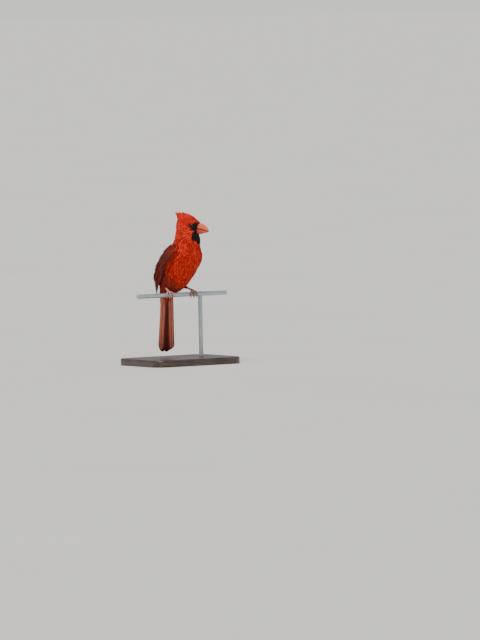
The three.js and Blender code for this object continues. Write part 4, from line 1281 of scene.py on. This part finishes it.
def toe_tubes(side_name, sign):
    skin_tubes, claws = [], []
    for toe_name, start, end, drift, radius in TOES:
        t = np.linspace(0, 1, 46)
        wrap = WIRE_RADIUS + radius + TOE_CLEAR
        x = FOOT_X[side_name] + drift * sign * np.sin(np.minimum(t * 1.6, 1) * np.pi / 2)
        centres = round_wire(x, lerp(start, end, t), wrap)
        scutes = 0.07 * (1 - (t * 13) % 1)
        joints = 0.08 * np.cos(t * 6 * np.pi)
        skin_tubes.append(tube(centres, radius * (0.90 - 0.16 * t + joints + scutes), (1, 0, 0)))
        turn = 1 if end > start else -1
        u = np.linspace(0, 1, 22)
        sweep = math.degrees(CLAW_LENGTH / wrap)
        centres = round_wire(x[-1], end + turn * (u * sweep - 6), wrap - 0.1 + 0.3 * np.sin(u * np.pi))
        claws.append((toe_name, tube(centres, 0.8 * np.maximum(1 - u**1.4, 0.06), (1, 0, 0), 12)))
    return skin_tubes, claws


def shank(side_name):
    t = np.linspace(0, 1, 60)
    low, high = knuckle(side_name), body.point(*ANKLES[side_name])
    centres = low + (high - low) * t[:, None]
    scutes = 0.08 * (1 - (t * 9) % 1)
    ends = 0.28 * np.exp(-((t / 0.09) ** 2))
    return tube(centres, 1.2 * (1 + scutes + ends), (1, 0, 0))


def pad(side_name):
    t = np.linspace(0, 1, 20)
    centre = knuckle(side_name)
    centres = centre + np.outer(t * 2 - 1, [1.9, 0, 0])
    bulge = np.maximum(np.sqrt(np.clip(1 - (t * 2 - 1) ** 2, 0, 1)), 0.05)
    return tube(centres, 1.55 * bulge, (0, 1, 0))


for side_name, sign in (("right", -1), ("left", 1)):
    skin_tubes, claws = toe_tubes(side_name, sign)
    leg = joined(f"scaled_leg_{side_name}", [shank(side_name), pad(side_name), *skin_tubes], leg_material)
    settle(leg, "leg_skin", f"leg_{side_name}")
    for toe_name, claw_tube in claws:
        claw = joined(f"claw_horn_{side_name}_{toe_name}", [claw_tube], claw_material)
        settle(claw, "claw", f"claw_{side_name}_{toe_name}")

# %% [markdown]
# Where each leg leaves the belly, loose downy feathers close round the ankle like a cuff. Rings of them
# down the top of the leg do it, each ring shorter than the one above.

# %% Thigh tufts
def thigh_tuft(side_name, seed):
    noise = np.random.default_rng(seed)
    low, high = knuckle(side_name), body.point(*ANKLES[side_name])
    down = unit(low - high)
    first = unit(np.cross(down, [0, 0, 1]))
    second = np.cross(down, first)
    t, angle_round = pairs(np.linspace(-0.35, 0.30, 9), np.arange(16) / 16 * 2 * np.pi)
    angle_round = angle_round + t * 17 + noise.normal(0, 0.1, len(t))
    out = swing(angle_round, first, second)
    radius = lerp(4.8, 2.0, smooth(-0.35, 0.34, t))
    roots = high + (low - high) * t[:, None] + out * radius[:, None]
    way = unit(down - out * 0.05)
    n = len(t)
    length, width = 6.5 * noise.normal(1, 0.1, n), 2.6 * noise.normal(1, 0.1, n)
    tone = np.clip(noise.normal(0.4, 0.15, n), 0, 1)
    uv = (angle_round / 60 + (0.3 if side_name == "left" else 0.7), 0.1 + t / 20)
    return feather_coat(f"coat_thigh_{side_name}", LOOSE_LEAF, roots, way, out, (width, length, 0.6), uv, tone,
                        (0, 0.7))


for thigh_seed, side_name in enumerate(("right", "left"), 81):
    settle(thigh_tuft(side_name, thigh_seed), "plumage_red")

# %% [markdown]
# The wire is galvanised steel: a zinc skin with faint crystals, dull blue-grey with soft bright streaks.
# It is turned as a round bar with eased cut ends. The rod is the same bar, welded behind it, with the
# weld's small irregular bead. The base is a plain dark board with rounded corners.

# %% Wire and rod
def zinc():
    s = Shader("galvanised_zinc")
    spangle = s.node("ShaderNodeTexVoronoi", {}, {"Vector": s.place(), "Scale": 420.0})
    streak = s.noise(180, 4, 0.6)
    colour = s.mix(streak, (0.36, 0.41, 0.42), (0.62, 0.67, 0.68))
    colour = s.mix(streak.ramp(0.62, 0.8) * 0.5, colour, (0.74, 0.77, 0.76))
    s.bump(spangle * 0.25 + streak * 0.7, 0.35, 0.0003)
    return s.finish(Base_Color=colour, Metallic=0.75, Roughness=0.34 + spangle * 0.12 + streak * 0.15)


zinc_material = zinc()
BAR_EASE = 0.5


def bar(start, end, radius, hint, segments=90):
    start, end = np.array(start, float), np.array(end, float)
    length = np.linalg.norm(end - start)
    eased = np.array([0, 0.1, 0.3, BAR_EASE])
    steps = np.concatenate([eased, np.linspace(1.5, length - 1.5, segments), (length - eased)[::-1]])
    radii = np.full(len(steps), float(radius))
    for i, share in enumerate((1, 0.5, 0.12)):
        radii[[i, -1 - i]] -= BAR_EASE * share
    return tube(start + (end - start) * (steps / length)[:, None], radii, hint, 40)


wire_bar = bar((wire_low[0], 0, 0), (wire_high[0], 0, 0), WIRE_RADIUS, (0, 0, 1))
settle(joined("galvanised_wire", [wire_bar], zinc_material), "wire", "perch_wire")
rod_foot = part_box("stand_rod")[0][2] / MM
ROD_X, ROD_Y = 31, 2 * WIRE_RADIUS - 0.4
WELD_SIZE = [3.7, 2.1, 3.2]


def weld_bead(rows=28, ring=40):
    p, q = pairs(np.linspace(0.02, np.pi - 0.02, rows), np.arange(ring) / ring * 2 * np.pi, "ij")
    way = stack(np.sin(p) * np.cos(q), np.cos(p), np.sin(p) * np.sin(q))
    x, y, z = way.T
    lumps = 1 + 0.07 * np.sin(x * 5 + 1) * np.sin(z * 6) + 0.04 * np.sin(y * 9 + x * 7)
    points = way * WELD_SIZE * lumps[:, None] + [ROD_X, ROD_Y - 2.6, 0]
    return points, capped_faces(rows, ring), np.zeros((len(points), 3))


rod_bar = bar((ROD_X, ROD_Y, rod_foot - WIRE_HEIGHT - 0.3), (ROD_X, ROD_Y, WIRE_RADIUS), WIRE_RADIUS, (1, 0, 0))
settle(joined("welded_rod", [rod_bar, weld_bead()], zinc_material), "wire", "stand_rod")

# %% Base board
def board():
    s = Shader("dark_board")
    stretch = s.node("ShaderNodeMapping", {}, {"Vector": s.place(), "Scale": (7, 60, 60)})
    grain = s.noise(6, 8, 0.62, stretch, 0.6)
    pores = s.noise(48, 4, 0.7, stretch)
    colour = s.mix(grain.ramp(0.32, 0.68), (0.020, 0.011, 0.007), (0.085, 0.046, 0.028))
    colour = s.mix(pores.ramp(0.6, 0.72) * 0.6, colour, (0.009, 0.005, 0.004))
    s.bump(grain * 0.4 + (1 - pores) * 0.5, 0.18, 0.0003)
    material = s.finish(Base_Color=colour, Roughness=0.36 + grain * 0.12, Coat_Weight=0.3, Coat_Roughness=0.2)
    low, high = (np.array(corner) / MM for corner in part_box("stand_base"))
    corner_radius, edge = 16.0, 1.6
    middle, half = (low + high) / 2, (high - low) / 2
    turn = np.linspace(0, 2 * np.pi, 128, endpoint=False)
    round_part = stack(np.cos(turn), np.sin(turn))
    quadrant = np.sign(round_part)

    def outline(inset):
        return middle[:2] + quadrant * (half[:2] - corner_radius) + round_part * (corner_radius - inset)

    ease = np.linspace(0, np.pi / 2, 7)
    levels = [(edge * 0.4, low[2]), (0.0, low[2] + edge * 0.4)]
    levels += [(edge * (1 - math.cos(x)), high[2] - edge * (1 - math.sin(x))) for x in ease]
    levels += [(corner_radius * 0.5, high[2])]
    rings = [np.column_stack([outline(inset), np.full(len(turn), z - WIRE_HEIGHT)]) for inset, z in levels]
    points = np.vstack(rings)
    return make_piece("base_board", points, capped_faces(len(levels), len(turn)), material)


settle(board(), "stand_base", "stand_base")

# %% [markdown]
# The camera copies the photograph: a long lens about eight metres away, a little above the bird, looking
# along the wire at a slant. The wire's centre between the feet falls on a known pixel, so the camera is
# first aimed there and then turned by that pixel's offset from the middle of the picture.

# %% Camera
PICTURE = (480, 640)
FOCAL_PIXELS = 6340
WIRE_PIXEL = (182, 294.6)
MM_PER_PIXEL = 1.30
AZIMUTH, ELEVATION, ROLL = -32, 2.56, 1.2


def photo_camera():
    data = bpy.data.cameras.new("photo_camera")
    data.sensor_width = 36
    data.lens = FOCAL_PIXELS / max(PICTURE) * data.sensor_width
    data.clip_end = 1000
    a, e = math.radians(AZIMUTH), math.radians(ELEVATION)
    target = Vector((0, 0, WIRE_HEIGHT * MM))
    away = Vector((math.sin(a) * math.cos(e), -math.cos(a) * math.cos(e), math.sin(e)))
    place = target + away * (MM_PER_PIXEL * FOCAL_PIXELS * MM)
    aim = (target - place).to_track_quat("-Z", "Y").to_matrix()
    right = math.atan((PICTURE[0] / 2 - WIRE_PIXEL[0]) / FOCAL_PIXELS)
    down = math.atan((PICTURE[1] / 2 - WIRE_PIXEL[1]) / FOCAL_PIXELS)
    turn = Matrix.Rotation(-right, 3, "Y") @ Matrix.Rotation(-down, 3, "X")
    roll = Matrix.Rotation(math.radians(-ROLL), 3, "Z")
    camera = add_to_scene("photo_camera", data)
    camera.matrix_world = Matrix.Translation(place) @ (aim @ roll @ turn).to_4x4()
    return camera


camera = photo_camera()
bpy.context.scene.camera = camera
print("camera at", [round(x, 2) for x in camera.location])

# %% [markdown]
# The room is a flat pale floor, a soft key light from high on the left, a weak fill from the right, and an
# even pale world. The world is brighter to the eye than it lights, so that the coat keeps its depth.

# %% Floor and light
FLOOR_REACH = 400


def floor():
    s = Shader("pale_floor")
    colour = s.mix(s.noise(3, 2), (0.70, 0.69, 0.67), (0.76, 0.75, 0.73))
    mesh = bpy.data.meshes.new("floor")
    corners = [(x * FLOOR_REACH, y * FLOOR_REACH, 0) for x, y in ((-1, -1), (1, -1), (1, 1), (-1, 1))]
    mesh.from_pydata(corners, [], [(0, 1, 2, 3)])
    mesh.materials.append(s.finish(Base_Color=colour, Roughness=0.8))
    add_to_scene("floor", mesh)


def lamp(name, place, strength, colour, width):
    """A distant soft lamp, so that floor near and far are lit alike."""
    data = bpy.data.lights.new(name, "SUN")
    data.energy, data.color, data.angle = strength, colour, math.radians(width)
    add_to_scene(name, data).matrix_world = (-Vector(place)).to_track_quat("-Z", "Y").to_matrix().to_4x4()


floor()
lamp("key", (-0.85, -0.5, 1.8), 3.1, (1.0, 0.97, 0.92), 20)
lamp("fill", (1.5, -1.3, 0.9), 0.22, (0.92, 0.96, 1.0), 60)
world = bpy.data.worlds.new("room")
world.use_nodes = True
room = world.node_tree.nodes["Background"]
seen = world.node_tree.nodes.new("ShaderNodeLightPath")
shade = world.node_tree.nodes.new("ShaderNodeMix")
shade.data_type = "RGBA"
shade.inputs[6].default_value = (0.44, 0.46, 0.49, 1)
shade.inputs[7].default_value = (0.90, 0.89, 0.87, 1)
world.node_tree.links.new(seen.outputs["Is Camera Ray"], shade.inputs[0])
world.node_tree.links.new(shade.outputs[2], room.inputs["Color"])
bpy.context.scene.world = world
